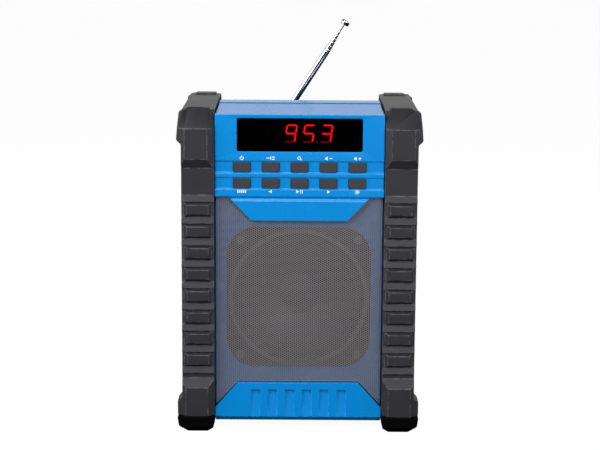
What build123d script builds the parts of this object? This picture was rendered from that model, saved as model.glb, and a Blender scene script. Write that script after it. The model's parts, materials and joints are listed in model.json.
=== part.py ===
from build123d import *
import os
from math import cos, radians, sin

os.makedirs("parts", exist_ok=True)

# Jobsite radio, in millimetres. The origin is on the floor under the middle of the radio,
# +Z is up and the front faces -Y.

# ------------------------------------------------------------------ overall sizes
overall_width = 200.0
overall_depth = 150.0
overall_height = 269.5
wall = 3.0
seat_gap = 0.3
running_gap = 0.05
screw_gap = 0.4
screw_cross_span = 1.3
screw_cross_width = 0.3
screw_cross_depth = 0.55

# ------------------------------------------------------------------ side guards
guard_width = 26.7
guard_wall = 8.0
column_depth = 26.3
window_top_rail = 32.3
window_bottom_rail = 30.0
window_radius = 8.0
rail_drop = 1.2
bumper_swell = 4.0
bumper_proud = 4.7
bumper_depth = 25.0
bumper_inner_bevel = 5.2
bumper_outer_bevel = 7.0
bumper_outer_setback = 5.95
bumper_ramp = 7.7
bumper_cheek_ramp = 3.2
top_bumper_height = 40.3
top_bumper_slope_height = 15.5
top_bumper_slope_depth = 11.5
top_bumper_cheek = 25.5
top_bumper_lean = 1.7
top_bumper_outer_bevel = 10.1
top_bumper_outer_drop = 3.3
top_bumper_inner_bevel = 4.5
top_bumper_inner_drop = 4.7
bottom_bumper_height = 24.4
bottom_bumper_cheek = 12.0
lug_base_gap = 9.7
lug_count = 8
lug_pitch = 17.95
lug_height = 12.0
lug_width = 22.7
lug_proud = 3.7
lug_side_draft = 2.45
lug_top_draft = 1.7
lug_bottom_draft = 2.4
rib_proud = 2.3
rib_lip = 0.45

# ------------------------------------------------------------------ feet
foot_height = 14.0
foot_width = 31.0
foot_depth = 30.0
foot_bevel = 5.0
foot_sole_setback = 4.5
foot_inner_lean = 1.3
foot_inner_bend = 4.2
foot_inner_sole = 6.3
foot_outer_lean = 1.2
foot_outer_bend = 6.3
foot_outer_sole = 9.0
foot_peg_radius = 4.0
foot_peg_height = 6.0

# ------------------------------------------------------------------ cabinet
fascia_setback = 2.3
fascia_side_gap = 0.6
fascia_wall = 4.0
bar_front_drop = 4.4
bar_step_drop = 1.8
bar_step_setback = 20.0
bar_end_inset = 1.8
handle_back_y = 0.0
handle_thickness = 8.0
handle_skin = 2.5
grille_slot_width = 1.7
grille_slot_depth = 3.0
seam_setback = 24.0
rear_overhang = 4.0
rear_bevel = 4.0
belly_height = 8.0
belly_bevel = 4.2
deck_drop = 24.5
flap_top_z = 197.4
flap_bottom_z = 178.0
flap_top_width = 115.8
flap_bottom_width = 78.0
flap_step_rise = 0.9
flap_step_height = 4.0
flap_step_valley = 2.2
flap_step_depth = 1.3
panel_top_z = 41.1
panel_top_width = 99.4
panel_shoulder_z = 20.3
groove_count = 6
groove_pitch = 14.25
groove_width = 7.6
groove_top_gap = 5.9
groove_depth = 3.0
side_rib_count = 6
side_rib_proud = 1.2
side_rib_height = 9.0
side_rib_end_gap = 4.0
chamber_margin = 0.5

# ------------------------------------------------------------------ display and buttons
display_width = 102.0
display_height = 27.2
display_radius = 1.6
display_drop = 20.9
lens_thickness = 2.0
lens_ledge = 2.5
lens_gap = 0.1
lens_chamfer = 0.25
led_width = 64.0
led_height = 19.0
led_gap = 0.5
band_height = 9.2
band_depth = 1.2
band_draft = 20.0
button_columns = 5
button_width = 14.2
button_height = 8.0
button_radius = 1.0
button_edge = 0.5
button_row_inset = 9.9
button_row_pitch = 13.3
button_row_drop = 26.4
button_proud = 1.4
button_side_gap = 0.3
button_flange = 1.0
button_flange_margin = 1.0
dome_height = 2.0
dome_radius = 3.5
dome_draft = 20.0
mat_thickness = 1.0
board_thickness = 1.6
control_board_side_gap = 1.5
control_board_top_gap = 6.0
control_board_bottom_gap = 3.4
pillar_radius = 3.0
pillar_inset = 3.5
board_screw_radius = 1.2
board_screw_head = 2.2
board_screw_head_height = 1.5
control_screw_length = 5.0
main_screw_length = 9.0

# ------------------------------------------------------------------ grille and loudspeaker
grille_setback = 4.0
grille_thickness = 1.0
grille_skirt = 3.0
baffle_thickness = 6.0
speaker_z = 112.3
basket_width = 118.0
basket_corner_radius = 24.0
basket_flange = 3.0
basket_depth = 28.0
basket_sheet = 1.2
basket_neck_radius = 31.0
basket_window_count = 6
basket_window_length = 12.0
basket_window_width = 26.0
basket_window_margin = 2.0
basket_ledge = 3.0
basket_throat_gap = 1.6
basket_throat_overlap = 1.0
baffle_lip = 1.0
cone_seat_depth = 1.5
cone_seat_gap = 0.5
cone_rim = 2.5
cone_rim_break = 0.6
roll_gap = 0.3
surround_outer_land = 1.6
surround_inner_land = 2.4
surround_land_shift = 0.4
surround_radius = 54.0
surround_width = 7.0
surround_thickness = 0.8
gasket_width = 3.0
gasket_height = 2.0
cone_depth = 17.0
cone_thickness = 0.8
coil_radius = 10.5
coil_thickness = 0.7
coil_length = 15.0
magnet_radius = 35.0
magnet_bore = 16.0
magnet_thickness = 14.0
magnet_bevel = 1.0
plate_radius = 33.0
plate_thickness = 5.0
pole_radius = 9.4
coil_gap = 0.7
dust_cap_radius = 17.0
dust_cap_height = 6.0
dust_cap_lift = 0.1
spider_thickness = 0.6
spider_roll_radius = 0.9
spider_rolls = 3
spider_drop = 1.0
spider_edge_gap = 0.5
speaker_screw_offset = 48.5
speaker_screw_radius = 1.7
speaker_screw_head = 3.4
speaker_screw_head_height = 1.8
speaker_screw_length = 8.0

# ------------------------------------------------------------------ batteries
cell_radius = 13.1
cell_length = 50.0
cell_gap = 0.4
cell_columns = 3
spring_height = 3.2
spring_foot_radius = 6.0
spring_top_radius = 3.5
contact_thickness = 0.4
contact_width = 14.0
contact_depth = 18.0
cell_nub_height = 1.5
cell_nub_radius = 3.3
cell_shoulder = 1.6
cell_foot_bevel = 0.8
tray_wall = 1.6
tray_flange = 4.0
shelf_setback = 2.0
bay_floor_gap = 20.0
door_margin = 4.0
door_thickness = 2.6
door_gap = 0.4
door_rib_count = 5
door_rib_inset = 12.0
door_rib_height = 3.0
door_rib_radius = 1.2
door_rib_pitch = 12.0
door_rib_depth = 0.8
door_rib_drop = 8.0
door_stop_width = 3.0
finger_radius = 9.0
finger_drop = 4.0
hinge_pin_radius = 1.0
hinge_pin_reach = 2.5
bay_frame = 6.0

# ------------------------------------------------------------------ main board and sockets
main_board_width = 96.0
main_board_height = 58.0
main_board_standoff = 12.4
main_board_above_bay = 12.0
main_board_x = -10.0
main_pillar_inset = 5.0
socket_body = 11.0
socket_collar_radius = 3.5
aux_bore_radius = 1.8
aux_bore_depth = 12.0
dc_bore_radius = 2.75
dc_pin_radius = 1.0
dc_bore_depth = 9.0
socket_pitch = 16.0
flap_width = 34.0
flap_height = 24.0
flap_thickness = 2.0
flap_gap = 0.4
flap_corner = 2.5
flap_pin_radius = 0.6
flap_pin_reach = 1.5
flap_board_inset = 13.0
flap_lip_height = 3.0
flap_lip_inset = 3.5
flap_lip_proud = 1.2
flap_lip_width = 13.6
flap_lip_radius = 1.2
capacitor_radius = 5.0
capacitor_height = 16.0
capacitor_pitch_x = 14.0
capacitor_pitch_z = 24.0
capacitor_shift = 12.0
sink_width = 30.0
sink_height = 26.0
sink_fin_count = 7
sink_fin_length = 12.0
sink_fin_thickness = 1.2
sink_edge_gap = 12.0

# ------------------------------------------------------------------ antenna
antenna_x = -13.6
antenna_y = 35.0
antenna_lean = 32.8
antenna_pivot_height = 7.0
socket_flange_height = 1.5
socket_flange_radius = 9.0
socket_neck_radius = 5.0
socket_neck_spare = 1.0
socket_flange_draft = 10.0
swivel_post_radius = 3.2
swivel_disc_radius = 7.5
swivel_disc_height = 1.8
swivel_nut_radius = 5.5
swivel_nut_height = 2.5
eye_radius = 3.4
eye_thickness = 5.0
eye_neck_width = 5.44
ear_radius = 4.0
ear_thickness = 2.0
ear_gap = 0.1
pin_radius = 1.2
pin_head_radius = 2.04
pin_head_height = 0.8
arm_radius = 3.0
arm_root_gap = 1.0
arm_root_overlap = 0.4
arm_bore_spare = 0.5
arm_length = 68.8
section_count = 5
section_step = 0.35
section_reveal = 3.6
section_start = 7.0
rod_radius = 0.9
rod_reveal = 7.0
tip_radius = 3.75
tip_height = 4.2
tip_round = 0.8
tip_bore_spare = 0.1

# ------------------------------------------------------------------ long screws
case_screw_inset = 11.0
case_screw_radius = 1.5
case_screw_head = 3.0
case_screw_head_height = 2.2
case_screw_grip = 10.0
case_screw_length = 26.0
case_boss_radius = 5.0
case_screw_rise = 22.0
case_screw_drop = 30.0
screw_tip_gap = 1.0
guard_screw_inset = 9.0
guard_screw_radius = 1.6
guard_screw_head = 3.6
guard_screw_head_height = 2.4
guard_screw_recess = 4.0
guard_screw_length = 24.0
guard_screw_drop = 22.5
guard_screw_rise = 1.5

# ------------------------------------------------------------------ places worked out from the sizes
column_outer = overall_width / 2 - bumper_swell
column_inner = column_outer - guard_width
column_middle = (column_outer + column_inner) / 2
guard_face = overall_depth / 2 - bumper_proud
rail_top = overall_height - rail_drop
pocket_side = column_outer - guard_wall
pocket_depth = guard_face - guard_wall
pocket_top = rail_top - guard_wall
pocket_bottom = foot_height + guard_wall
window_depth = 2 * (guard_face - column_depth)
window_bottom = foot_height + window_bottom_rail
window_top = rail_top - window_top_rail
window_middle = (window_top + window_bottom) / 2
lug_stack_base = foot_height + bottom_bumper_height + bumper_ramp + lug_base_gap

wing_side = pocket_side - seat_gap
wing_depth = pocket_depth - seat_gap
wing_top = pocket_top - seat_gap
wing_bottom = pocket_bottom + seat_gap
fascia_side = column_inner - fascia_side_gap
fascia_y = -(guard_face - fascia_setback)
fascia_inner_y = fascia_y + fascia_wall
seam_y = -seam_setback
rear_y = wing_depth + rear_overhang
rear_inner_y = rear_y - wall
deck_z = overall_height - deck_drop
bar_front_z = overall_height - bar_front_drop
bar_step_z = overall_height - bar_step_drop
bar_step_y = -bar_step_setback
bar_side = fascia_side - bar_end_inset
handle_bottom = overall_height - handle_thickness
inner_side = bar_side - wall
grille_y = fascia_y + grille_setback
baffle_y = grille_y + grille_thickness + grille_skirt
baffle_back_y = baffle_y + baffle_thickness

display_z = overall_height - display_drop
lens_back_y = fascia_y + lens_thickness
upper_row_z = display_z - button_row_drop
lower_row_z = upper_row_z - button_row_pitch
button_pitch = 2 * (inner_side - button_row_inset - button_width / 2) / (button_columns - 1)
band_y = fascia_y + band_depth
flange_front_y = fascia_inner_y + running_gap
flange_back_y = flange_front_y + button_flange
mat_front_y = flange_back_y + dome_height
control_board_y = mat_front_y + mat_thickness
control_board_top = overall_height - wall - control_board_top_gap
control_board_bottom = lower_row_z - button_height / 2 - control_board_bottom_gap
control_board_width = 2 * (inner_side - control_board_side_gap)
pillar_x = control_board_width / 2 - pillar_inset
pillar_spots = [
    (x, z)
    for x in (-pillar_x, pillar_x)
    for z in (control_board_bottom + pillar_inset, control_board_top - pillar_inset)
]

cell_pitch = 2 * cell_radius + cell_gap
bay_width = cell_columns * cell_pitch + cell_gap
cell_slot = cell_length + spring_height + 2 * contact_thickness + cell_gap
bay_height = 2 * cell_slot + tray_wall
bay_bottom = belly_height + bay_floor_gap + door_margin
bay_z = bay_bottom + bay_height / 2
door_width = bay_width + 2 * tray_wall + 2 * door_margin
door_height = bay_height + 2 * tray_wall + 2 * door_margin
door_bottom = bay_z - door_height / 2
door_inner_y = rear_y - door_thickness
bay_frame_y = rear_y - bay_frame
tray_depth = 2 * cell_radius + 2 * cell_gap
tray_front_y = bay_frame_y - tray_depth

main_board_y = rear_inner_y - main_board_standoff
main_board_z = bay_z + door_height / 2 + main_board_above_bay + main_board_height / 2
main_pillar_reach_x = main_board_width / 2 - main_pillar_inset
main_pillar_reach_z = main_board_height / 2 - main_pillar_inset
main_pillar_spots = [
    (main_board_x + sx * main_pillar_reach_x, main_board_z + sz * main_pillar_reach_z)
    for sx in (-1, 1)
    for sz in (-1, 1)
]
flap_x = main_board_x - main_board_width / 2 + flap_board_inset + flap_width / 2
flap_z = main_board_z
aux_x = flap_x - socket_pitch / 2
dc_x = flap_x + socket_pitch / 2
flap_inner_y = rear_y - flap_thickness
flap_hinge_y = rear_y - flap_thickness / 2
flap_hinge_z = flap_z + flap_height / 2 - flap_thickness / 2
door_hinge_y = rear_y - door_thickness / 2
door_hinge_z = door_bottom + door_thickness / 2

case_screw_x = wing_side - case_screw_inset
case_screw_spots = [
    (x, z)
    for x in (-case_screw_x, case_screw_x)
    for z in (wing_bottom + case_screw_rise, wing_top - case_screw_drop)
]
case_floor_y = seam_y + case_screw_grip
guard_screw_x = wing_side - guard_screw_inset
guard_screw_spots = [
    (x, z)
    for x in (-guard_screw_x, guard_screw_x)
    for z in (foot_height + bottom_bumper_height / 2 + guard_screw_rise, overall_height - guard_screw_drop)
]
guard_screw_seat_y = overall_depth / 2 - guard_screw_recess
speaker_screw_spots = [
    (x, speaker_z + z)
    for x in (-speaker_screw_offset, speaker_screw_offset)
    for z in (-speaker_screw_offset, speaker_screw_offset)
]
cone_radius = surround_radius - surround_width


def facing_front(y):
    """Plane at depth y that looks out of the front: its X is +X and its Y is +Z."""
    return Plane.XZ.offset(-y)


def mirrored(points):
    """Close a half outline, listed bottom to top at +X or +Y, with its mirror image."""
    return points + [(-across, up) for across, up in reversed(points)]


def save(piece, name):
    """Name a piece and write it as its own STEP file."""
    piece.label = name
    export_step(piece, f"parts/{name}.step")


# ------------------------------------------------------------------ tread lug
# A low pyramid with a flat face: drafted on all four sides, steepest underneath.
with BuildPart() as lug:
    with BuildSketch(facing_front(0)):
        Rectangle(lug_width, lug_height)
    with BuildSketch(facing_front(-lug_proud)):
        with Locations((0, (lug_bottom_draft - lug_top_draft) / 2)):
            Rectangle(lug_width - 2 * lug_side_draft, lug_height - lug_top_draft - lug_bottom_draft)
    loft()

# ------------------------------------------------------------------ bumpers
# Each is the block common to its front, side and plan outlines. Its plan bevels the two
# upright front edges, and its side outline ramps it into the column.
bumper_front = -overall_depth / 2
bumper_back = bumper_front + bumper_depth
bumper_plan = [
    (column_inner, bumper_back),
    (column_inner, -guard_face),
    (column_inner + bumper_inner_bevel, bumper_front),
    (overall_width / 2 - bumper_outer_bevel, bumper_front),
    (overall_width / 2, bumper_front + bumper_outer_setback),
    (overall_width / 2, bumper_back - bumper_swell),
    (column_outer, bumper_back),
]
top_bumper_base = overall_height - top_bumper_height - bumper_ramp
top_bumper_side = [
    (-guard_face, top_bumper_base),
    (bumper_front, overall_height - top_bumper_height),
    (bumper_front, overall_height - top_bumper_slope_height),
    (bumper_front + top_bumper_slope_depth, overall_height),
    (bumper_back, overall_height),
    (bumper_back, top_bumper_base),
]
top_bumper_view = [
    (column_inner, top_bumper_base),
    (column_outer, top_bumper_base),
    (column_outer, overall_height - top_bumper_cheek - bumper_cheek_ramp),
    (overall_width / 2, overall_height - top_bumper_cheek),
    (overall_width / 2 - top_bumper_lean, overall_height - top_bumper_outer_drop),
    (overall_width / 2 - top_bumper_outer_bevel, overall_height),
    (column_inner + top_bumper_inner_bevel, overall_height),
    (column_inner, overall_height - top_bumper_inner_drop),
]
bottom_bumper_top = foot_height + bottom_bumper_height
bottom_bumper_side = [
    (bumper_front, foot_height),
    (bumper_front, bottom_bumper_top),
    (-guard_face, bottom_bumper_top + bumper_ramp),
    (bumper_back, bottom_bumper_top + bumper_ramp),
    (bumper_back, foot_height),
]
bottom_bumper_view = [
    (column_inner, foot_height),
    (overall_width / 2, foot_height),
    (overall_width / 2, foot_height + bottom_bumper_cheek),
    (column_outer, foot_height + bottom_bumper_cheek + bumper_swell),
    (column_outer, bottom_bumper_top + bumper_ramp),
    (column_inner, bottom_bumper_top + bumper_ramp),
]
with BuildPart() as top_bumper:
    with BuildSketch(Plane.XZ):
        Polygon(*top_bumper_view)
    extrude(amount=overall_depth)
    with BuildSketch(Plane.YZ):
        Polygon(*top_bumper_side)
    extrude(amount=overall_width, mode=Mode.INTERSECT)
    with BuildSketch(Plane.XY):
        Polygon(*bumper_plan)
    extrude(amount=2 * overall_height, mode=Mode.INTERSECT)
with BuildPart() as bottom_bumper:
    with BuildSketch(Plane.XZ):
        Polygon(*bottom_bumper_view)
    extrude(amount=overall_depth)
    with BuildSketch(Plane.YZ):
        Polygon(*bottom_bumper_side)
    extrude(amount=overall_width, mode=Mode.INTERSECT)
    with BuildSketch(Plane.XY):
        Polygon(*bumper_plan)
    extrude(amount=2 * overall_height, mode=Mode.INTERSECT)

# ------------------------------------------------------------------ side guards
# A moulded frame that slips over the cabinet's side: an outer wall with a window and a
# flange turned in all round. Front and rear columns carry the lugs and the ribs between them.
lug_spots = [lug_stack_base + k * lug_pitch for k in range(lug_count)]
rib_spots = [lug_stack_base + k * lug_pitch for k in range(lug_count + 1)]
rib_height = lug_pitch - lug_height
slope_foot = overall_height - top_bumper_slope_height
slope_rate = top_bumper_slope_height / top_bumper_slope_depth
shoulder_z = slope_foot + bumper_proud * slope_rate
shoulder_y = guard_face - (rail_top - shoulder_z) / slope_rate
guard_side = mirrored([
    (guard_face, foot_height),
    (guard_face, shoulder_z),
    (shoulder_y, rail_top),
])

with BuildPart() as right_guard:
    with BuildSketch(Plane.YZ.offset(column_inner)):
        Polygon(*guard_side)
        with Locations((0, window_middle)):
            RectangleRounded(window_depth, window_top - window_bottom, window_radius, mode=Mode.SUBTRACT)
    extrude(amount=guard_width)
    with BuildSketch(Plane.YZ.offset(column_inner)):
        for side in (-1, 1):
            for z in rib_spots:
                Polygon(
                    (side * guard_face, z),
                    (side * (guard_face + rib_proud), z - rib_height + rib_lip),
                    (side * guard_face, z - rib_height),
                )
    extrude(amount=guard_width)
    for z in lug_spots:
        with Locations(
            Location((column_middle, -guard_face, z + lug_height / 2)),
            Location((column_middle, guard_face, z + lug_height / 2), (0, 0, 180)),
        ):
            add(lug.part)
    add(top_bumper.part)
    add(bottom_bumper.part)
    add(top_bumper.part.mirror(Plane.XZ))
    add(bottom_bumper.part.mirror(Plane.XZ))
    # the upright bevels of the top bumpers follow the slope
    for end in (-1, 1):
        with BuildSketch(Plane.XY.offset(slope_foot)):
            Polygon(
                (column_inner, end * overall_depth / 2),
                (column_inner + bumper_inner_bevel, end * overall_depth / 2),
                (column_inner, end * guard_face),
            )
            Polygon(
                (overall_width / 2, end * overall_depth / 2),
                (overall_width / 2 - bumper_outer_bevel, end * overall_depth / 2),
                (overall_width / 2, end * (overall_depth / 2 - bumper_outer_setback)),
            )
        extrude(
            amount=overall_height - slope_foot + top_bumper_slope_depth,
            dir=(0, -end * top_bumper_slope_depth, top_bumper_slope_height),
            mode=Mode.SUBTRACT,
        )
    # pocket over the cabinet's wings
    with BuildSketch(Plane.YZ.offset(column_inner)):
        with Locations((0, (pocket_top + pocket_bottom) / 2)):
            Rectangle(2 * pocket_depth, pocket_top - pocket_bottom)
    extrude(amount=pocket_side - column_inner, mode=Mode.SUBTRACT)
    with Locations(*[
        Plane(origin=(x, overall_depth / 2, z), x_dir=(1, 0, 0), z_dir=(0, 1, 0))
        for x, z in guard_screw_spots if x > 0
    ]):
        CounterBoreHole(
            guard_screw_radius + screw_gap,
            guard_screw_head + screw_gap,
            guard_screw_recess,
            2 * guard_wall,
        )
    with Locations(*[
        (overall_width / 2 - foot_width / 2, y, foot_height)
        for y in (-overall_depth / 2 + foot_depth / 2, overall_depth / 2 - foot_depth / 2)
    ]):
        Cylinder(
            foot_peg_radius + running_gap,
            foot_peg_height + seat_gap,
            align=(Align.CENTER, Align.CENTER, Align.MIN),
            mode=Mode.SUBTRACT,
        )
save(right_guard.part, "right_guard")
with BuildPart() as left_guard:
    add(right_guard.part.mirror(Plane.YZ))
save(left_guard.part, "left_guard")

# ------------------------------------------------------------------ feet
# Rubber blocks with bevelled edges, each on a peg that fills a hole in its guard.
with BuildPart() as foot:
    with BuildSketch(facing_front(0)):
        Polygon(
            (-foot_width / 2, foot_height),
            (-foot_width / 2, foot_height - foot_bevel),
            (-foot_width / 2 + foot_inner_lean, foot_inner_bend),
            (-foot_width / 2 + foot_inner_sole, 0),
            (foot_width / 2 - foot_outer_sole, 0),
            (foot_width / 2 - foot_outer_lean, foot_outer_bend),
            (foot_width / 2, foot_height),
        )
    extrude(amount=foot_depth / 2, both=True)
    with BuildSketch(Plane.YZ):
        Polygon(
            (-foot_depth / 2, foot_height),
            (-foot_depth / 2, foot_bevel),
            (-foot_depth / 2 + foot_sole_setback, 0),
            (foot_depth / 2 - foot_sole_setback, 0),
            (foot_depth / 2, foot_bevel),
            (foot_depth / 2, foot_height),
        )
    extrude(amount=foot_width, both=True, mode=Mode.INTERSECT)
    with Locations((0, 0, foot_height)):
        Cylinder(foot_peg_radius, foot_peg_height, align=(Align.CENTER, Align.CENTER, Align.MIN))
foot_x = overall_width / 2 - foot_width / 2
foot_y = overall_depth / 2 - foot_depth / 2
for side_name, x in (("left", -foot_x), ("right", foot_x)):
    for end_name, y in (("front", -foot_y), ("rear", foot_y)):
        with BuildPart() as placed_foot:
            with Locations((x, y, 0)):
                add(foot.part if x > 0 else foot.part.mirror(Plane.YZ))
        save(placed_foot.part, f"foot_{end_name}_{side_name}")

# ------------------------------------------------------------------ front cabinet
# Blue moulding: the fascia stands forward between the guards, and thinner wings run back
# under them. The grille recess lies between the flap and the lower panel.
grille_corners = mirrored([
    (fascia_side, panel_shoulder_z),
    (fascia_side, flap_top_z),
    (flap_top_width / 2, flap_top_z),
    (flap_bottom_width / 2, flap_bottom_z),
])
grille_corners = [
    (panel_top_width / 2, panel_top_z),
    *grille_corners,
    (-panel_top_width / 2, panel_top_z),
]
grille_slot_x = column_inner - grille_slot_width / 4
bar_inner_top = bar_step_z - handle_skin
handle_inner_bottom = handle_bottom + handle_skin
chamber_bottom = control_board_bottom - chamber_margin
flap_step_z = flap_top_z + flap_step_rise
button_spots = [
    ((k - (button_columns - 1) / 2) * button_pitch, z)
    for z in (upper_row_z, lower_row_z)
    for k in range(button_columns)
]
groove_spots = [(k - (groove_count - 1) / 2) * groove_pitch for k in range(groove_count)]
groove_top = panel_top_z - groove_top_gap
side_rib_pitch = (window_top - window_bottom) / (side_rib_count + 1)
side_rib_spots = [window_bottom + side_rib_pitch * (k + 1) for k in range(side_rib_count)]
wing_inner_side = wing_side - wall
wing_inner_bottom = wing_bottom + wall
belly_inner = belly_height + wall
deck_inner = deck_z - wall

with BuildPart() as front_cabinet:
    with BuildSketch(facing_front(seam_y)):
        with Locations((0, (wing_top + wing_bottom) / 2)):
            Rectangle(2 * wing_side, wing_top - wing_bottom)
    extrude(amount=wing_depth - seam_setback)
    with BuildSketch(Plane.YZ):
        Polygon(
            (seam_y, belly_height),
            (fascia_y + belly_bevel, belly_height),
            (fascia_y, belly_height + belly_bevel),
            (fascia_y, bar_front_z),
            (bar_step_y, bar_step_z),
            (bar_step_y, overall_height),
            (handle_back_y, overall_height),
            (handle_back_y, handle_bottom),
            (seam_y, handle_bottom),
        )
    extrude(amount=fascia_side, both=True)
    # the bar on top is a little narrower than the fascia
    with BuildSketch(facing_front(handle_back_y)):
        for side in (-1, 1):
            with Locations((side * (bar_side + bar_end_inset), (bar_front_z + overall_height) / 2)):
                Rectangle(2 * bar_end_inset, overall_height - bar_front_z)
    extrude(amount=overall_depth, mode=Mode.SUBTRACT)
    # grille recess, down to the baffle
    with BuildSketch(facing_front(baffle_y)):
        Polygon(*grille_corners)
    extrude(amount=overall_depth, mode=Mode.SUBTRACT)
    # dark slots between the grille and the guards
    with BuildSketch(facing_front(baffle_y + grille_slot_depth)):
        for side in (-1, 1):
            with Locations((side * grille_slot_x, (flap_top_z + panel_shoulder_z) / 2)):
                Rectangle(grille_slot_width, flap_top_z - panel_shoulder_z)
    extrude(amount=overall_depth, mode=Mode.SUBTRACT)
    # chamber behind the display and the buttons, closed towards the rear above the deck
    with BuildSketch(Plane.YZ):
        Polygon(
            (fascia_inner_y, chamber_bottom),
            (fascia_inner_y, bar_front_z - wall),
            (bar_step_y, bar_inner_top),
            (handle_back_y - handle_skin, bar_inner_top),
            (handle_back_y - handle_skin, handle_inner_bottom),
            (seam_y - wall, handle_inner_bottom),
            (seam_y - wall, deck_inner),
            (seam_y, deck_inner),
            (seam_y, chamber_bottom),
        )
    extrude(amount=inner_side, both=True, mode=Mode.SUBTRACT)
    # main chamber behind the baffle
    with BuildSketch(facing_front(seam_y)):
        with Locations((0, (deck_inner + wing_inner_bottom) / 2)):
            Rectangle(2 * wing_inner_side, deck_inner - wing_inner_bottom)
        with Locations((0, (deck_inner + belly_inner) / 2)):
            Rectangle(2 * inner_side, deck_inner - belly_inner)
    extrude(amount=seam_y - baffle_back_y, mode=Mode.SUBTRACT)
    # display window with its ledge
    with BuildSketch(facing_front(lens_back_y)):
        with Locations((0, display_z)):
            RectangleRounded(display_width, display_height, display_radius)
    extrude(amount=lens_thickness, mode=Mode.SUBTRACT)
    with BuildSketch(facing_front(lens_back_y)):
        with Locations((0, display_z)):
            Rectangle(display_width - 2 * lens_ledge, display_height - 2 * lens_ledge)
    extrude(amount=-fascia_wall, mode=Mode.SUBTRACT)
    # sunk bands and the button holes
    with BuildSketch(facing_front(band_y)):
        with Locations((0, upper_row_z), (0, lower_row_z)):
            Rectangle(2 * fascia_side, band_height)
    extrude(amount=2 * band_depth, mode=Mode.SUBTRACT, taper=-band_draft)
    with BuildSketch(facing_front(fascia_inner_y)):
        with Locations(*button_spots):
            RectangleRounded(
                button_width + 2 * button_side_gap,
                button_height + 2 * button_side_gap,
                button_radius + button_side_gap,
            )
    extrude(amount=fascia_wall, mode=Mode.SUBTRACT)
    # step where the flap leaves the fascia
    with BuildSketch(Plane.YZ):
        Polygon(
            (fascia_y, flap_step_z),
            (fascia_y + flap_step_depth, flap_step_z - flap_step_valley),
            (fascia_y, flap_step_z - flap_step_height),
        )
    extrude(amount=fascia_side, both=True, mode=Mode.SUBTRACT)
    # grooves of the lower panel, deep at the top and running out at the bottom
    for x in groove_spots:
        with BuildSketch(Plane.YZ.offset(x - groove_width / 2)):
            Polygon(
                (fascia_y, belly_height + belly_bevel),
                (fascia_y, groove_top),
                (fascia_y + groove_depth, groove_top),
            )
        extrude(amount=groove_width, mode=Mode.SUBTRACT)
    # loudspeaker seat and opening
    with BuildSketch(facing_front(baffle_y)):
        with Locations((0, speaker_z)):
            RectangleRounded(
                basket_width + 2 * seat_gap, basket_width + 2 * seat_gap, basket_corner_radius + seat_gap
            )
    extrude(amount=-basket_flange, mode=Mode.SUBTRACT)
    with BuildSketch(facing_front(baffle_back_y)):
        with Locations((0, speaker_z)):
            Circle(surround_radius - baffle_lip)
    extrude(amount=baffle_thickness, mode=Mode.SUBTRACT)
    with BuildSketch(facing_front(baffle_back_y)):
        with Locations(*speaker_screw_spots):
            Circle(speaker_screw_radius + running_gap)
    extrude(amount=baffle_thickness, mode=Mode.SUBTRACT)
    # bosses for the case screws
    with BuildSketch(facing_front(seam_y)):
        with Locations(*case_screw_spots):
            Circle(case_boss_radius)
    extrude(amount=seam_y - baffle_back_y)
    with BuildSketch(facing_front(seam_y)):
        with Locations(*case_screw_spots):
            Circle(case_screw_radius + running_gap)
    extrude(amount=case_screw_length - case_screw_grip + screw_tip_gap, mode=Mode.SUBTRACT)
    # pillars for the control board
    with BuildSketch(facing_front(fascia_inner_y)):
        with Locations(*pillar_spots):
            Circle(pillar_radius)
            Circle(board_screw_radius + running_gap, mode=Mode.SUBTRACT)
    extrude(amount=-(control_board_y - fascia_inner_y))
    # ribs on the sides, seen through the guards' windows
    for side in (-1, 1):
        with BuildSketch(facing_front(seam_y)):
            with Locations(*[(side * wing_side, z) for z in side_rib_spots]):
                Rectangle(2 * side_rib_proud, side_rib_height)
        extrude(amount=window_depth / 2 - seam_setback - side_rib_end_gap)
save(front_cabinet.part, "front_cabinet")

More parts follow.
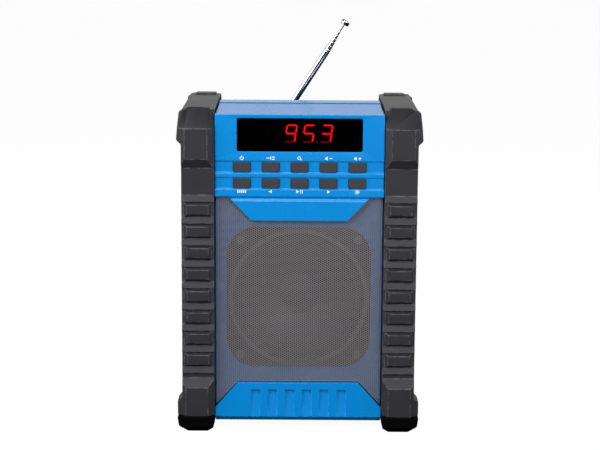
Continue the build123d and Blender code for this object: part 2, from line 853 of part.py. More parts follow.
# ------------------------------------------------------------------ rear cabinet
# Dark moulding that closes the back: a sunk deck between the wings carries the antenna, and
# the rear wall holds the battery bay and the sockets.
with BuildPart() as rear_cabinet:
    with BuildSketch(facing_front(seam_y)):
        with Locations((0, (wing_top + wing_bottom) / 2)):
            Rectangle(2 * wing_side, wing_top - wing_bottom)
    extrude(amount=seam_y - wing_depth)
    with BuildSketch(Plane.YZ):
        Polygon(
            (seam_y, belly_height),
            (rear_y - rear_bevel, belly_height),
            (rear_y, belly_height + rear_bevel),
            (rear_y, deck_z - rear_bevel),
            (rear_y - rear_bevel, deck_z),
            (seam_y, deck_z),
        )
    extrude(amount=fascia_side, both=True)
    with BuildSketch(Plane.XY.offset(deck_z)):
        with Locations((0, (seam_y + rear_y) / 2)):
            Rectangle(2 * fascia_side, rear_y - seam_y)
    extrude(amount=overall_height, mode=Mode.SUBTRACT)
    # chamber, with a shallower step behind the bevelled rear wall
    with BuildSketch(facing_front(seam_y)):
        with Locations((0, (deck_inner + wing_inner_bottom) / 2)):
            Rectangle(2 * wing_inner_side, deck_inner - wing_inner_bottom)
        with Locations((0, (deck_inner + belly_inner) / 2)):
            Rectangle(2 * inner_side, deck_inner - belly_inner)
    extrude(amount=seam_y - wing_depth + wall, mode=Mode.SUBTRACT)
    with BuildSketch(facing_front(seam_y)):
        with Locations((0, (deck_inner + belly_inner) / 2)):
            Rectangle(2 * inner_side, deck_inner - belly_inner - rear_bevel)
    extrude(amount=seam_y - rear_inner_y, mode=Mode.SUBTRACT)
    # thickened frames around the battery bay and the sockets
    with BuildSketch(facing_front(rear_inner_y)):
        with Locations((0, bay_z)):
            Rectangle(door_width + 2 * wall, door_height + 2 * wall)
        with Locations((flap_x, flap_z)):
            Rectangle(flap_width + 2 * wall, flap_height + 2 * wall)
    extrude(amount=rear_inner_y - bay_frame_y)
    with BuildSketch(facing_front(rear_y)):
        with Locations((0, bay_z)):
            Rectangle(door_width + 2 * door_gap, door_height + 2 * door_gap)
    extrude(amount=door_thickness, mode=Mode.SUBTRACT)
    with BuildSketch(facing_front(rear_y)):
        with Locations((0, bay_z)):
            Rectangle(bay_width, bay_height)
    extrude(amount=bay_frame, mode=Mode.SUBTRACT)
    with BuildSketch(facing_front(rear_y)):
        with Locations((flap_x, flap_z)):
            Rectangle(flap_width + 2 * flap_gap, flap_height + 2 * flap_gap)
        fillet(vertices().sort_by(Axis.Y)[:2], flap_corner + flap_gap)
    extrude(amount=flap_thickness, mode=Mode.SUBTRACT)
    with BuildSketch(facing_front(rear_y)):
        with Locations((aux_x, flap_z), (dc_x, flap_z)):
            Circle(socket_collar_radius + running_gap)
    extrude(amount=bay_frame, mode=Mode.SUBTRACT)
    # bearings of the battery door's and the flap's hinge pins
    with BuildSketch(Plane.YZ):
        with Locations((door_hinge_y, door_hinge_z)):
            Circle(hinge_pin_radius + running_gap)
    extrude(amount=door_width / 2 + door_gap + hinge_pin_reach, both=True, mode=Mode.SUBTRACT)
    with BuildSketch(Plane.YZ.offset(flap_x)):
        with Locations((flap_hinge_y, flap_hinge_z)):
            Circle(flap_pin_radius + running_gap)
    extrude(amount=flap_width / 2 + flap_gap + flap_pin_reach, both=True, mode=Mode.SUBTRACT)
    # hole for the antenna socket
    with BuildSketch(Plane.XY.offset(deck_z)):
        with Locations((antenna_x, antenna_y)):
            Circle(socket_neck_radius + running_gap)
    extrude(amount=-wall, mode=Mode.SUBTRACT)
    # pillars for the main board
    with BuildSketch(facing_front(rear_inner_y)):
        with Locations(*main_pillar_spots):
            Circle(pillar_radius)
            Circle(board_screw_radius + running_gap, mode=Mode.SUBTRACT)
    extrude(amount=rear_inner_y - main_board_y)
    # case screw columns, with deep wells for the heads
    with BuildSketch(facing_front(seam_y)):
        with Locations(*case_screw_spots):
            Circle(case_boss_radius)
    extrude(amount=seam_y - wing_depth + wall / 2)
    with BuildSketch(facing_front(case_floor_y)):
        with Locations(*case_screw_spots):
            Circle(case_screw_head + seat_gap)
    extrude(amount=case_floor_y - wing_depth, mode=Mode.SUBTRACT)
    with BuildSketch(facing_front(seam_y)):
        with Locations(*case_screw_spots):
            Circle(case_screw_radius + running_gap)
    extrude(amount=-case_screw_grip, mode=Mode.SUBTRACT)
    # bosses that take the guard screws
    with BuildSketch(facing_front(wing_depth - wall / 2)):
        with Locations(*guard_screw_spots):
            Circle(case_boss_radius)
    extrude(amount=guard_screw_length - guard_wall + wall)
    with BuildSketch(facing_front(wing_depth)):
        with Locations(*guard_screw_spots):
            Circle(guard_screw_radius + running_gap)
    extrude(amount=guard_screw_length - guard_wall + 2 * screw_tip_gap, mode=Mode.SUBTRACT)
    for side in (-1, 1):
        with BuildSketch(facing_front(seam_y)):
            with Locations(*[(side * wing_side, z) for z in side_rib_spots]):
                Rectangle(2 * side_rib_proud, side_rib_height)
        extrude(amount=seam_y - window_depth / 2 + side_rib_end_gap)
save(rear_cabinet.part, "rear_cabinet")

# ------------------------------------------------------------------ speaker grille
# A sheet-metal pan: flat face, skirt folded back onto the baffle. The holes are finish.
with BuildPart() as speaker_grille:
    with BuildSketch(facing_front(baffle_y)):
        Polygon(*grille_corners)
        offset(amount=-fascia_side_gap, kind=Kind.INTERSECTION)
    extrude(amount=grille_skirt + grille_thickness)
    with BuildSketch(facing_front(baffle_y)):
        Polygon(*grille_corners)
        offset(amount=-fascia_side_gap - grille_thickness, kind=Kind.INTERSECTION)
    extrude(amount=grille_skirt, mode=Mode.SUBTRACT)
save(speaker_grille.part, "speaker_grille")

# ------------------------------------------------------------------ display
with BuildPart() as display_lens:
    with BuildSketch(facing_front(lens_back_y)):
        with Locations((0, display_z)):
            RectangleRounded(
                display_width - 2 * lens_gap, display_height - 2 * lens_gap, display_radius - lens_gap
            )
    extrude(amount=lens_thickness)
    chamfer(display_lens.faces().sort_by(Axis.Y)[0].edges(), lens_chamfer)
save(display_lens.part, "display_lens")

led_face_y = lens_back_y + led_gap
with BuildPart() as led_display:
    with BuildSketch(facing_front(control_board_y)):
        with Locations((0, display_z)):
            Rectangle(led_width, led_height)
    extrude(amount=control_board_y - led_face_y)
save(led_display.part, "led_display")

# ------------------------------------------------------------------ buttons
# Each cap stands through the fascia and is kept by a flange behind it.
button_names = [
    "power", "mode", "scan", "volume_down", "volume_up",
    "preset", "previous", "play", "next", "dimmer",
]
for button_name, (x, z) in zip(button_names, button_spots):
    with BuildPart() as button:
        with BuildSketch(facing_front(flange_back_y)):
            with Locations((x, z)):
                RectangleRounded(
                    button_width + 2 * button_flange_margin,
                    button_height + 2 * button_flange_margin,
                    button_radius,
                )
        extrude(amount=button_flange)
        with BuildSketch(facing_front(flange_front_y)):
            with Locations((x, z)):
                RectangleRounded(button_width, button_height, button_radius)
        extrude(amount=flange_front_y - band_y + button_proud)
        fillet(button.faces().sort_by(Axis.Y)[0].edges(), button_edge)
    save(button.part, f"button_{button_name}")

# ------------------------------------------------------------------ keypad mat and control board
with BuildPart() as keypad_mat:
    with BuildSketch(facing_front(control_board_y)):
        with Locations((0, (upper_row_z + lower_row_z) / 2)):
            Rectangle(
                (button_columns - 1) * button_pitch + button_width,
                button_row_pitch + button_height,
            )
    extrude(amount=mat_thickness)
    with BuildSketch(facing_front(mat_front_y)):
        with Locations(*button_spots):
            Circle(dome_radius)
    extrude(amount=dome_height, taper=dome_draft)
save(keypad_mat.part, "keypad_mat")

control_board_z = (control_board_top + control_board_bottom) / 2
with BuildPart() as control_board:
    with BuildSketch(facing_front(control_board_y)):
        with Locations((0, control_board_z)):
            Rectangle(control_board_width, control_board_top - control_board_bottom)
        with Locations(*pillar_spots):
            Circle(board_screw_radius + running_gap, mode=Mode.SUBTRACT)
    extrude(amount=-board_thickness)
save(control_board.part, "control_board")

# ------------------------------------------------------------------ main board
with BuildPart() as main_board:
    with BuildSketch(facing_front(main_board_y)):
        with Locations((main_board_x, main_board_z)):
            Rectangle(main_board_width, main_board_height)
        with Locations(*main_pillar_spots):
            Circle(board_screw_radius + running_gap, mode=Mode.SUBTRACT)
    extrude(amount=board_thickness)
save(main_board.part, "main_board")

collar_end_y = flap_inner_y - seat_gap
with BuildPart() as aux_jack:
    with BuildSketch(facing_front(main_board_y)):
        with Locations((aux_x, flap_z)):
            Rectangle(socket_body, socket_body)
    extrude(amount=main_board_y - bay_frame_y)
    with BuildSketch(facing_front(bay_frame_y)):
        with Locations((aux_x, flap_z)):
            Circle(socket_collar_radius)
    extrude(amount=bay_frame_y - collar_end_y)
    with BuildSketch(facing_front(collar_end_y)):
        with Locations((aux_x, flap_z)):
            Circle(aux_bore_radius)
    extrude(amount=aux_bore_depth, mode=Mode.SUBTRACT)
save(aux_jack.part, "aux_jack")

with BuildPart() as dc_jack:
    with BuildSketch(facing_front(main_board_y)):
        with Locations((dc_x, flap_z)):
            Rectangle(socket_body, socket_body)
    extrude(amount=main_board_y - bay_frame_y)
    with BuildSketch(facing_front(bay_frame_y)):
        with Locations((dc_x, flap_z)):
            Circle(socket_collar_radius)
    extrude(amount=bay_frame_y - collar_end_y)
    with BuildSketch(facing_front(collar_end_y)):
        with Locations((dc_x, flap_z)):
            Circle(dc_bore_radius)
            Circle(dc_pin_radius, mode=Mode.SUBTRACT)
    extrude(amount=dc_bore_depth, mode=Mode.SUBTRACT)
save(dc_jack.part, "dc_jack")

board_front_y = main_board_y - board_thickness
sink_x = main_board_x + main_board_width / 2 - sink_width / 2 - sink_edge_gap
sink_fin_pitch = (sink_width - sink_fin_thickness) / (sink_fin_count - 1)
with BuildPart() as heat_sink:
    with BuildSketch(facing_front(board_front_y)):
        with Locations((sink_x, main_board_z)):
            Rectangle(sink_width, sink_height)
    extrude(amount=wall)
    with BuildSketch(facing_front(board_front_y - wall)):
        with Locations((sink_x, main_board_z)):
            with GridLocations(sink_fin_pitch, 0, sink_fin_count, 1):
                Rectangle(sink_fin_thickness, sink_height)
    extrude(amount=sink_fin_length)
save(heat_sink.part, "heat_sink")

with BuildPart() as capacitors:
    with BuildSketch(facing_front(board_front_y)):
        with Locations((main_board_x - capacitor_shift, main_board_z)):
            with GridLocations(capacitor_pitch_x, capacitor_pitch_z, 2, 2):
                Circle(capacitor_radius)
    extrude(amount=capacitor_height)
save(capacitors.part, "capacitors")

# ------------------------------------------------------------------ loudspeaker
# Turned parts are drawn in a half section: X is the depth Y, Y is the height Z.
speaker_axis = Axis((0, 0, speaker_z), (0, 1, 0))
flange_y = baffle_y + basket_flange
seat_y = baffle_y + cone_seat_depth
neck_y = flange_y + basket_depth
rim_inner = cone_radius - cone_rim
throat_radius = surround_radius - basket_throat_gap


def section(*points):
    """Half section of a turned part: (depth, radius) pairs about the loudspeaker's axis."""
    return Polygon(*[(y, speaker_z + radius) for y, radius in points])


with BuildPart() as speaker_basket:
    with BuildSketch(facing_front(flange_y)):
        with Locations((0, speaker_z)):
            RectangleRounded(basket_width, basket_width, basket_corner_radius)
            Circle(surround_radius - basket_ledge, mode=Mode.SUBTRACT)
        with Locations(*speaker_screw_spots):
            Circle(speaker_screw_radius + running_gap, mode=Mode.SUBTRACT)
    extrude(amount=basket_flange)
    with BuildSketch(facing_front(seat_y)):
        with Locations((0, speaker_z)):
            Circle(surround_radius + cone_seat_gap)
    extrude(amount=basket_flange, mode=Mode.SUBTRACT)
    with BuildSketch(Plane.YZ):
        section(
            (flange_y - basket_throat_overlap, throat_radius),
            (flange_y - basket_throat_overlap, throat_radius - basket_sheet),
            (neck_y, basket_neck_radius - basket_sheet),
            (neck_y, magnet_bore),
            (neck_y + basket_sheet, magnet_bore),
            (neck_y + basket_sheet, basket_neck_radius),
        )
    revolve(axis=speaker_axis)
    with BuildSketch(facing_front(neck_y - basket_window_margin)):
        with Locations((0, speaker_z)):
            with PolarLocations((basket_neck_radius + surround_radius) / 2, basket_window_count):
                Rectangle(basket_window_length, basket_window_width)
    extrude(amount=basket_depth - 3 * basket_window_margin, mode=Mode.SUBTRACT)
save(speaker_basket.part, "speaker_basket")

plate_y = neck_y + basket_sheet
magnet_y = plate_y + plate_thickness
yoke_y = magnet_y + magnet_thickness
with BuildPart() as speaker_top_plate:
    with BuildSketch(Plane.YZ):
        section(
            (plate_y, coil_radius + coil_thickness + coil_gap),
            (plate_y, plate_radius),
            (magnet_y, plate_radius),
            (magnet_y, coil_radius + coil_thickness + coil_gap),
        )
    revolve(axis=speaker_axis)
save(speaker_top_plate.part, "speaker_top_plate")

with BuildPart() as speaker_magnet:
    with BuildSketch(Plane.YZ):
        section(
            (magnet_y, magnet_bore),
            (magnet_y, magnet_radius - magnet_bevel),
            (magnet_y + magnet_bevel, magnet_radius),
            (yoke_y - magnet_bevel, magnet_radius),
            (yoke_y, magnet_radius - magnet_bevel),
            (yoke_y, magnet_bore),
        )
    revolve(axis=speaker_axis)
save(speaker_magnet.part, "speaker_magnet")

with BuildPart() as speaker_yoke:
    with BuildSketch(Plane.YZ):
        section(
            (plate_y, 0),
            (plate_y, pole_radius),
            (yoke_y, pole_radius),
            (yoke_y, plate_radius),
            (yoke_y + plate_thickness, plate_radius - magnet_bevel),
            (yoke_y + plate_thickness, 0),
        )
    revolve(axis=speaker_axis)
save(speaker_yoke.part, "speaker_yoke")

coil_outer = coil_radius + coil_thickness
rim_y = seat_y
cone_neck_y = rim_y + cone_depth
with BuildPart() as speaker_cone:
    with BuildSketch(Plane.YZ):
        section(
            (rim_y, cone_radius),
            (rim_y, rim_inner),
            (cone_neck_y, coil_outer + running_gap),
            (cone_neck_y + cone_thickness, coil_outer + running_gap),
            (rim_y + cone_thickness, rim_inner + cone_rim_break),
            (rim_y + cone_thickness, cone_radius),
        )
    revolve(axis=speaker_axis)
save(speaker_cone.part, "speaker_cone")

with BuildPart() as voice_coil:
    with BuildSketch(Plane.YZ):
        section(
            (cone_neck_y, coil_radius),
            (cone_neck_y, coil_outer),
            (cone_neck_y + coil_length, coil_outer),
            (cone_neck_y + coil_length, coil_radius),
        )
    revolve(axis=speaker_axis)
save(voice_coil.part, "voice_coil")

cone_slope = cone_depth / (rim_inner - coil_outer)
cap_seat_y = cone_neck_y - cone_slope * (dust_cap_radius - coil_outer)
cap_sphere = (dust_cap_radius ** 2 + dust_cap_height ** 2) / (2 * dust_cap_height)
cap_rim_y = cap_seat_y - dust_cap_lift
cap_middle_y = cap_rim_y - dust_cap_height + cap_sphere
with BuildPart() as dust_cap:
    with BuildSketch(Plane.YZ):
        with Locations((cap_middle_y, speaker_z)):
            Circle(cap_sphere)
            Circle(cap_sphere - cone_thickness, mode=Mode.SUBTRACT)
        with Locations((cap_rim_y + cap_sphere, speaker_z)):
            Rectangle(2 * cap_sphere, 2 * cap_sphere, mode=Mode.SUBTRACT)
        with Locations((cap_middle_y, speaker_z - cap_sphere)):
            Rectangle(2 * cap_sphere, 2 * cap_sphere, mode=Mode.SUBTRACT)
    revolve(axis=speaker_axis)
save(dust_cap.part, "dust_cap")

roll_radius = surround_width / 2 - roll_gap
roll_middle = surround_radius - surround_width / 2
inner_land_middle = roll_middle - roll_radius - surround_land_shift
with BuildPart() as speaker_surround:
    with BuildSketch(Plane.YZ):
        with Locations((seat_y, speaker_z + roll_middle)):
            Circle(roll_radius)
            Circle(roll_radius - surround_thickness, mode=Mode.SUBTRACT)
        with Locations((seat_y + roll_radius, speaker_z + roll_middle)):
            Rectangle(2 * roll_radius, 3 * roll_radius, mode=Mode.SUBTRACT)
        with Locations((seat_y - surround_thickness / 2, speaker_z + roll_middle + roll_radius)):
            Rectangle(surround_thickness, surround_outer_land)
        with Locations((seat_y - surround_thickness / 2, speaker_z + inner_land_middle)):
            Rectangle(surround_thickness, surround_inner_land)
    revolve(axis=speaker_axis)
save(speaker_surround.part, "speaker_surround")

spider_y = (cone_neck_y + neck_y) / 2 - spider_drop
spider_reach = (spider_y - flange_y) / basket_depth
basket_there = throat_radius - basket_sheet - spider_reach * (throat_radius - basket_neck_radius)
spider_outer = basket_there - spider_edge_gap
spider_inner = coil_outer + running_gap
with BuildPart() as speaker_spider:
    with BuildSketch(Plane.YZ):
        with Locations((spider_y, speaker_z + (spider_outer + spider_inner) / 2)):
            Rectangle(spider_thickness, spider_outer - spider_inner)
        for k in range(spider_rolls):
            ring = spider_inner + (k + 1) * (spider_outer - spider_inner) / (spider_rolls + 1)
            with Locations((spider_y, speaker_z + ring)):
                Circle(spider_roll_radius)
    revolve(axis=speaker_axis)
save(speaker_spider.part, "speaker_spider")

with BuildPart() as speaker_gasket:
    with BuildSketch(facing_front(baffle_y)):
        with Locations((0, speaker_z)):
            Circle(surround_radius + cone_seat_gap + gasket_width)
            Circle(surround_radius + cone_seat_gap, mode=Mode.SUBTRACT)
    extrude(amount=gasket_height)
save(speaker_gasket.part, "speaker_gasket")


def screw_group(spots, seat, head_side, shank, head, head_height, length):
    """Pan-head screws along Y. Heads stand on depth seat, on its front (1) or its rear (-1)."""
    with BuildPart() as group:
        with BuildSketch(facing_front(seat)):
            with Locations(*spots):
                Circle(head)
        extrude(amount=head_side * head_height)
        with BuildSketch(facing_front(seat)):
            with Locations(*spots):
                Circle(shank)
        extrude(amount=-head_side * length)
        with BuildSketch(facing_front(seat - head_side * head_height)):
            with Locations(*spots):
                Rectangle(head * screw_cross_span, head * screw_cross_width)
                Rectangle(head * screw_cross_width, head * screw_cross_span)
        extrude(amount=-head_side * head_height * screw_cross_depth, mode=Mode.SUBTRACT)
    return group.part


save(
    screw_group(
        speaker_screw_spots, baffle_y, 1, speaker_screw_radius, speaker_screw_head,
        speaker_screw_head_height, speaker_screw_length,
    ),
    "speaker_screws",
)
save(
    screw_group(
        guard_screw_spots, guard_screw_seat_y, -1, guard_screw_radius, guard_screw_head,
        guard_screw_head_height, guard_screw_length,
    ),
    "guard_screws",
)
save(
    screw_group(
        case_screw_spots, case_floor_y, -1, case_screw_radius, case_screw_head,
        case_screw_head_height, case_screw_length,
    ),
    "case_screws",
)
with BuildPart() as board_screws:
    add(screw_group(
        pillar_spots, control_board_y + board_thickness, -1, board_screw_radius, board_screw_head,
        board_screw_head_height, control_screw_length,
    ))
    add(screw_group(
        main_pillar_spots, board_front_y, 1, board_screw_radius, board_screw_head,
        board_screw_head_height, main_screw_length,
    ))
save(board_screws.part, "board_screws")

# ------------------------------------------------------------------ battery bay
with BuildPart() as battery_tray:
    with BuildSketch(facing_front(bay_frame_y)):
        with Locations((0, bay_z)):
            Rectangle(bay_width + 2 * tray_flange, bay_height + 2 * tray_flange)
    extrude(amount=tray_wall)
    with BuildSketch(facing_front(bay_frame_y)):
        with Locations((0, bay_z)):
            Rectangle(bay_width + 2 * tray_wall, bay_height + 2 * tray_wall)
    extrude(amount=tray_depth + tray_wall)
    with BuildSketch(facing_front(bay_frame_y)):
        with Locations((0, bay_z)):
            Rectangle(bay_width, bay_height)
            Rectangle(bay_width, tray_wall, mode=Mode.SUBTRACT)
    extrude(amount=tray_depth, mode=Mode.SUBTRACT)
    # the shelf between the two rows stops short of the door
    with BuildSketch(facing_front(bay_frame_y)):
        with Locations((0, bay_z)):
            Rectangle(bay_width, 2 * tray_wall)
    extrude(amount=shelf_setback, mode=Mode.SUBTRACT)
save(battery_tray.part, "battery_tray")

slot_floors = [bay_bottom, bay_z + tray_wall / 2]
cell_columns_x = [(k - (cell_columns - 1) / 2) * cell_pitch for k in range(cell_columns)]
cell_y = tray_front_y + cell_gap + cell_radius
cell_lift = contact_thickness + spring_height
with BuildPart() as battery_cells:
    with BuildSketch(Plane.XZ):
        with BuildLine():
            Polyline(
                (0, 0),
                (cell_radius - cell_foot_bevel, 0),
                (cell_radius, cell_foot_bevel),
                (cell_radius, cell_length - cell_nub_height - cell_shoulder),
                (cell_radius - cell_shoulder, cell_length - cell_nub_height),
                (cell_nub_radius, cell_length - cell_nub_height),
                (cell_nub_radius, cell_length),
                (0, cell_length),
                close=True,
            )
        make_face()
    one_cell = revolve(axis=Axis.Z, mode=Mode.PRIVATE)
    with Locations(*[(x, cell_y, floor + cell_lift) for x in cell_columns_x for floor in slot_floors]):
        add(one_cell)
save(battery_cells.part, "battery_cells")

with BuildPart() as battery_contacts:
    with Locations(*[
        (x, cell_y, z)
        for x in cell_columns_x
        for floor in slot_floors
        for z in (floor, floor + cell_slot - contact_thickness)
    ]):
        Box(contact_width, contact_depth, contact_thickness, align=(Align.CENTER, Align.CENTER, Align.MIN))
    with Locations(*[
        (x, cell_y, floor + contact_thickness) for x in cell_columns_x for floor in slot_floors
    ]):
        Cone(
            spring_foot_radius,
            spring_top_radius,
            spring_height,
            align=(Align.CENTER, Align.CENTER, Align.MIN),
        )
save(battery_contacts.part, "battery_contacts")

with BuildPart() as battery_door:
    # the lower edge is a full round about the hinge axis, with a pin at each end
    with BuildSketch(facing_front(rear_y)):
        with Locations((0, (door_hinge_z + door_bottom + door_height) / 2)):
            Rectangle(door_width, door_bottom + door_height - door_hinge_z)
    extrude(amount=door_thickness)
    with BuildSketch(Plane.YZ):
        with Locations((door_hinge_y, door_hinge_z)):
            Circle(door_thickness / 2)
    extrude(amount=door_width / 2, both=True)
    with BuildSketch(Plane.YZ):
        with Locations((door_hinge_y, door_hinge_z)):
            Circle(hinge_pin_radius)
    extrude(amount=door_width / 2 + hinge_pin_reach, both=True)
    with BuildSketch(facing_front(door_inner_y)):
        with Locations(*[(x, bay_z) for x in cell_columns_x]):
            Rectangle(door_stop_width, bay_height - door_rib_inset)
    extrude(amount=door_inner_y - cell_y - cell_radius - seat_gap)
    with BuildSketch(facing_front(rear_y)):
        with Locations((0, bay_z + door_height / 2 - finger_drop)):
            Circle(finger_radius)
            with Locations((0, finger_radius / 2)):
                Rectangle(2 * finger_radius, finger_radius, mode=Mode.SUBTRACT)
    extrude(amount=door_thickness / 2, mode=Mode.SUBTRACT)
    with BuildSketch(facing_front(rear_y)):
        with Locations((0, bay_z - door_rib_drop)):
            with GridLocations(0, door_rib_pitch, 1, door_rib_count):
                RectangleRounded(door_width - 2 * door_rib_inset, door_rib_height, door_rib_radius)
    extrude(amount=door_rib_depth, mode=Mode.SUBTRACT)
save(battery_door.part, "battery_door")

with BuildPart() as socket_flap:
    # the upper edge is a full round about the hinge axis, with a pin at each end
    with BuildSketch(facing_front(rear_y)):
        with Locations((flap_x, flap_z - flap_thickness / 4)):
            Rectangle(flap_width, flap_height - flap_thickness / 2)
        fillet(vertices().sort_by(Axis.Y)[:2], flap_corner)
    extrude(amount=flap_thickness)
    with BuildSketch(Plane.YZ.offset(flap_x)):
        with Locations((flap_hinge_y, flap_hinge_z)):
            Circle(flap_thickness / 2)
    extrude(amount=flap_width / 2, both=True)
    with BuildSketch(Plane.YZ.offset(flap_x)):
        with Locations((flap_hinge_y, flap_hinge_z)):
            Circle(flap_pin_radius)
    extrude(amount=flap_width / 2 + flap_pin_reach, both=True)
    with BuildSketch(facing_front(rear_y)):
        with Locations((flap_x, flap_z - flap_height / 2 + flap_lip_inset)):
            RectangleRounded(flap_lip_width, flap_lip_height, flap_lip_radius)
    extrude(amount=-flap_lip_proud)
save(socket_flap.part, "socket_flap")

# ------------------------------------------------------------------ antenna base
socket_top = deck_z + socket_flange_height
with BuildPart() as antenna_socket:
    with BuildSketch(Plane.XY.offset(socket_top)):
        with Locations((antenna_x, antenna_y)):
            Circle(socket_flange_radius)
    extrude(amount=-socket_flange_height, taper=-socket_flange_draft)
    with BuildSketch(Plane.XY.offset(deck_z)):
        with Locations((antenna_x, antenna_y)):
            Circle(socket_neck_radius)
    extrude(amount=-wall - socket_neck_spare)
    with BuildSketch(Plane.XY.offset(socket_top)):
        with Locations((antenna_x, antenna_y)):
            Circle(swivel_post_radius + running_gap)
    extrude(amount=-overall_height, mode=Mode.SUBTRACT)
save(antenna_socket.part, "antenna_socket")

pivot_z = deck_z + antenna_pivot_height
disc_top = socket_top + swivel_disc_height
neck_bottom = deck_z - wall - socket_neck_spare
ear_offset = eye_thickness / 2 + ear_gap
with BuildPart() as antenna_swivel:
    with BuildSketch(Plane.XY.offset(socket_top)):
        with Locations((antenna_x, antenna_y)):
            Circle(swivel_disc_radius)
    extrude(amount=swivel_disc_height)
    with BuildSketch(Plane.XY.offset(socket_top)):
        with Locations((antenna_x, antenna_y)):
            Circle(swivel_post_radius)
    extrude(amount=neck_bottom - swivel_nut_height - socket_top)
    for ear_front in (antenna_y - ear_offset, antenna_y + ear_offset + ear_thickness):
        with BuildSketch(facing_front(ear_front)):
            with Locations((antenna_x, pivot_z)):
                Circle(ear_radius)
            with Locations((antenna_x, (pivot_z + disc_top) / 2)):
                Rectangle(2 * ear_radius, pivot_z - disc_top)
            with Locations((antenna_x, pivot_z)):
                Circle(pin_radius + running_gap, mode=Mode.SUBTRACT)
        extrude(amount=ear_thickness)
save(antenna_swivel.part, "antenna_swivel")

with BuildPart() as antenna_nut:
    with BuildSketch(Plane.XY.offset(neck_bottom)):
        with Locations((antenna_x, antenna_y)):
            RegularPolygon(swivel_nut_radius, 6)
            Circle(swivel_post_radius + running_gap, mode=Mode.SUBTRACT)
    extrude(amount=-swivel_nut_height)
save(antenna_nut.part, "antenna_nut")

with BuildPart() as antenna_pin:
    with BuildSketch(facing_front(antenna_y + ear_offset + ear_thickness)):
        with Locations((antenna_x, pivot_z)):
            Circle(pin_radius)
    extrude(amount=2 * (ear_offset + ear_thickness))
    ear_outside = ear_offset + ear_thickness
    for head_front in (antenna_y - ear_outside, antenna_y + ear_outside + pin_head_height):
        with BuildSketch(facing_front(head_front)):
            with Locations((antenna_x, pivot_z)):
                Circle(pin_head_radius)
        extrude(amount=pin_head_height)
save(antenna_pin.part, "antenna_pin")

# ------------------------------------------------------------------ telescopic antenna
# Drawn along its own axis, which leans to +X from the pivot.
lean = radians(antenna_lean)
antenna_plane = Plane(
    origin=(antenna_x, antenna_y, pivot_z), x_dir=(0, 1, 0), z_dir=(sin(lean), 0, cos(lean))
)
section_radii = [arm_radius - k * section_step for k in range(section_count + 1)] + [rod_radius]
tube_start = ear_radius + arm_root_gap
with BuildPart() as antenna_arm:
    with BuildSketch(facing_front(antenna_y + eye_thickness / 2)):
        with Locations((antenna_x, pivot_z)):
            Circle(eye_radius)
    extrude(amount=eye_thickness)
    with BuildSketch(antenna_plane):
        Rectangle(eye_thickness, eye_neck_width)
    extrude(amount=tube_start)
    with BuildSketch(antenna_plane.offset(tube_start - arm_root_overlap)):
        Circle(arm_radius)
    extrude(amount=arm_length - tube_start + arm_root_overlap)
    with BuildSketch(facing_front(antenna_y + eye_thickness)):
        with Locations((antenna_x, pivot_z)):
            Circle(pin_radius + running_gap)
    extrude(amount=2 * eye_thickness, mode=Mode.SUBTRACT)
    with BuildSketch(antenna_plane.offset(section_start - arm_bore_spare)):
        Circle(section_radii[1] + running_gap)
    extrude(amount=arm_length, mode=Mode.SUBTRACT)
save(antenna_arm.part, "antenna_arm")

for k in range(1, section_count + 1):
    with BuildPart() as tube:
        with BuildSketch(antenna_plane.offset(section_start)):
            Circle(section_radii[k])
            Circle(section_radii[k + 1] + running_gap, mode=Mode.SUBTRACT)
        extrude(amount=arm_length + k * section_reveal - section_start)
    save(tube.part, f"antenna_section_{k + 1}")

rod_end = arm_length + section_count * section_reveal + rod_reveal
with BuildPart() as antenna_rod:
    with BuildSketch(antenna_plane.offset(section_start)):
        Circle(rod_radius)
    extrude(amount=rod_end - section_start + tip_height / 2)
save(antenna_rod.part, "antenna_rod")

with BuildPart() as antenna_tip:
    with BuildSketch(antenna_plane.offset(rod_end)):
        Circle(tip_radius)
    extrude(amount=tip_height)
    fillet(antenna_tip.edges().filter_by(GeomType.CIRCLE), tip_round)
    with BuildSketch(antenna_plane.offset(rod_end)):
        Circle(rod_radius + running_gap)
    extrude(amount=tip_height / 2 + tip_bore_spare, mode=Mode.SUBTRACT)
save(antenna_tip.part, "antenna_tip")
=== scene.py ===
import json
import math
import bmesh
import bpy
from bpy.props import FloatProperty, FloatVectorProperty, PointerProperty
from mathutils import Matrix, Vector
from mathutils.geometry import delaunay_2d_cdt


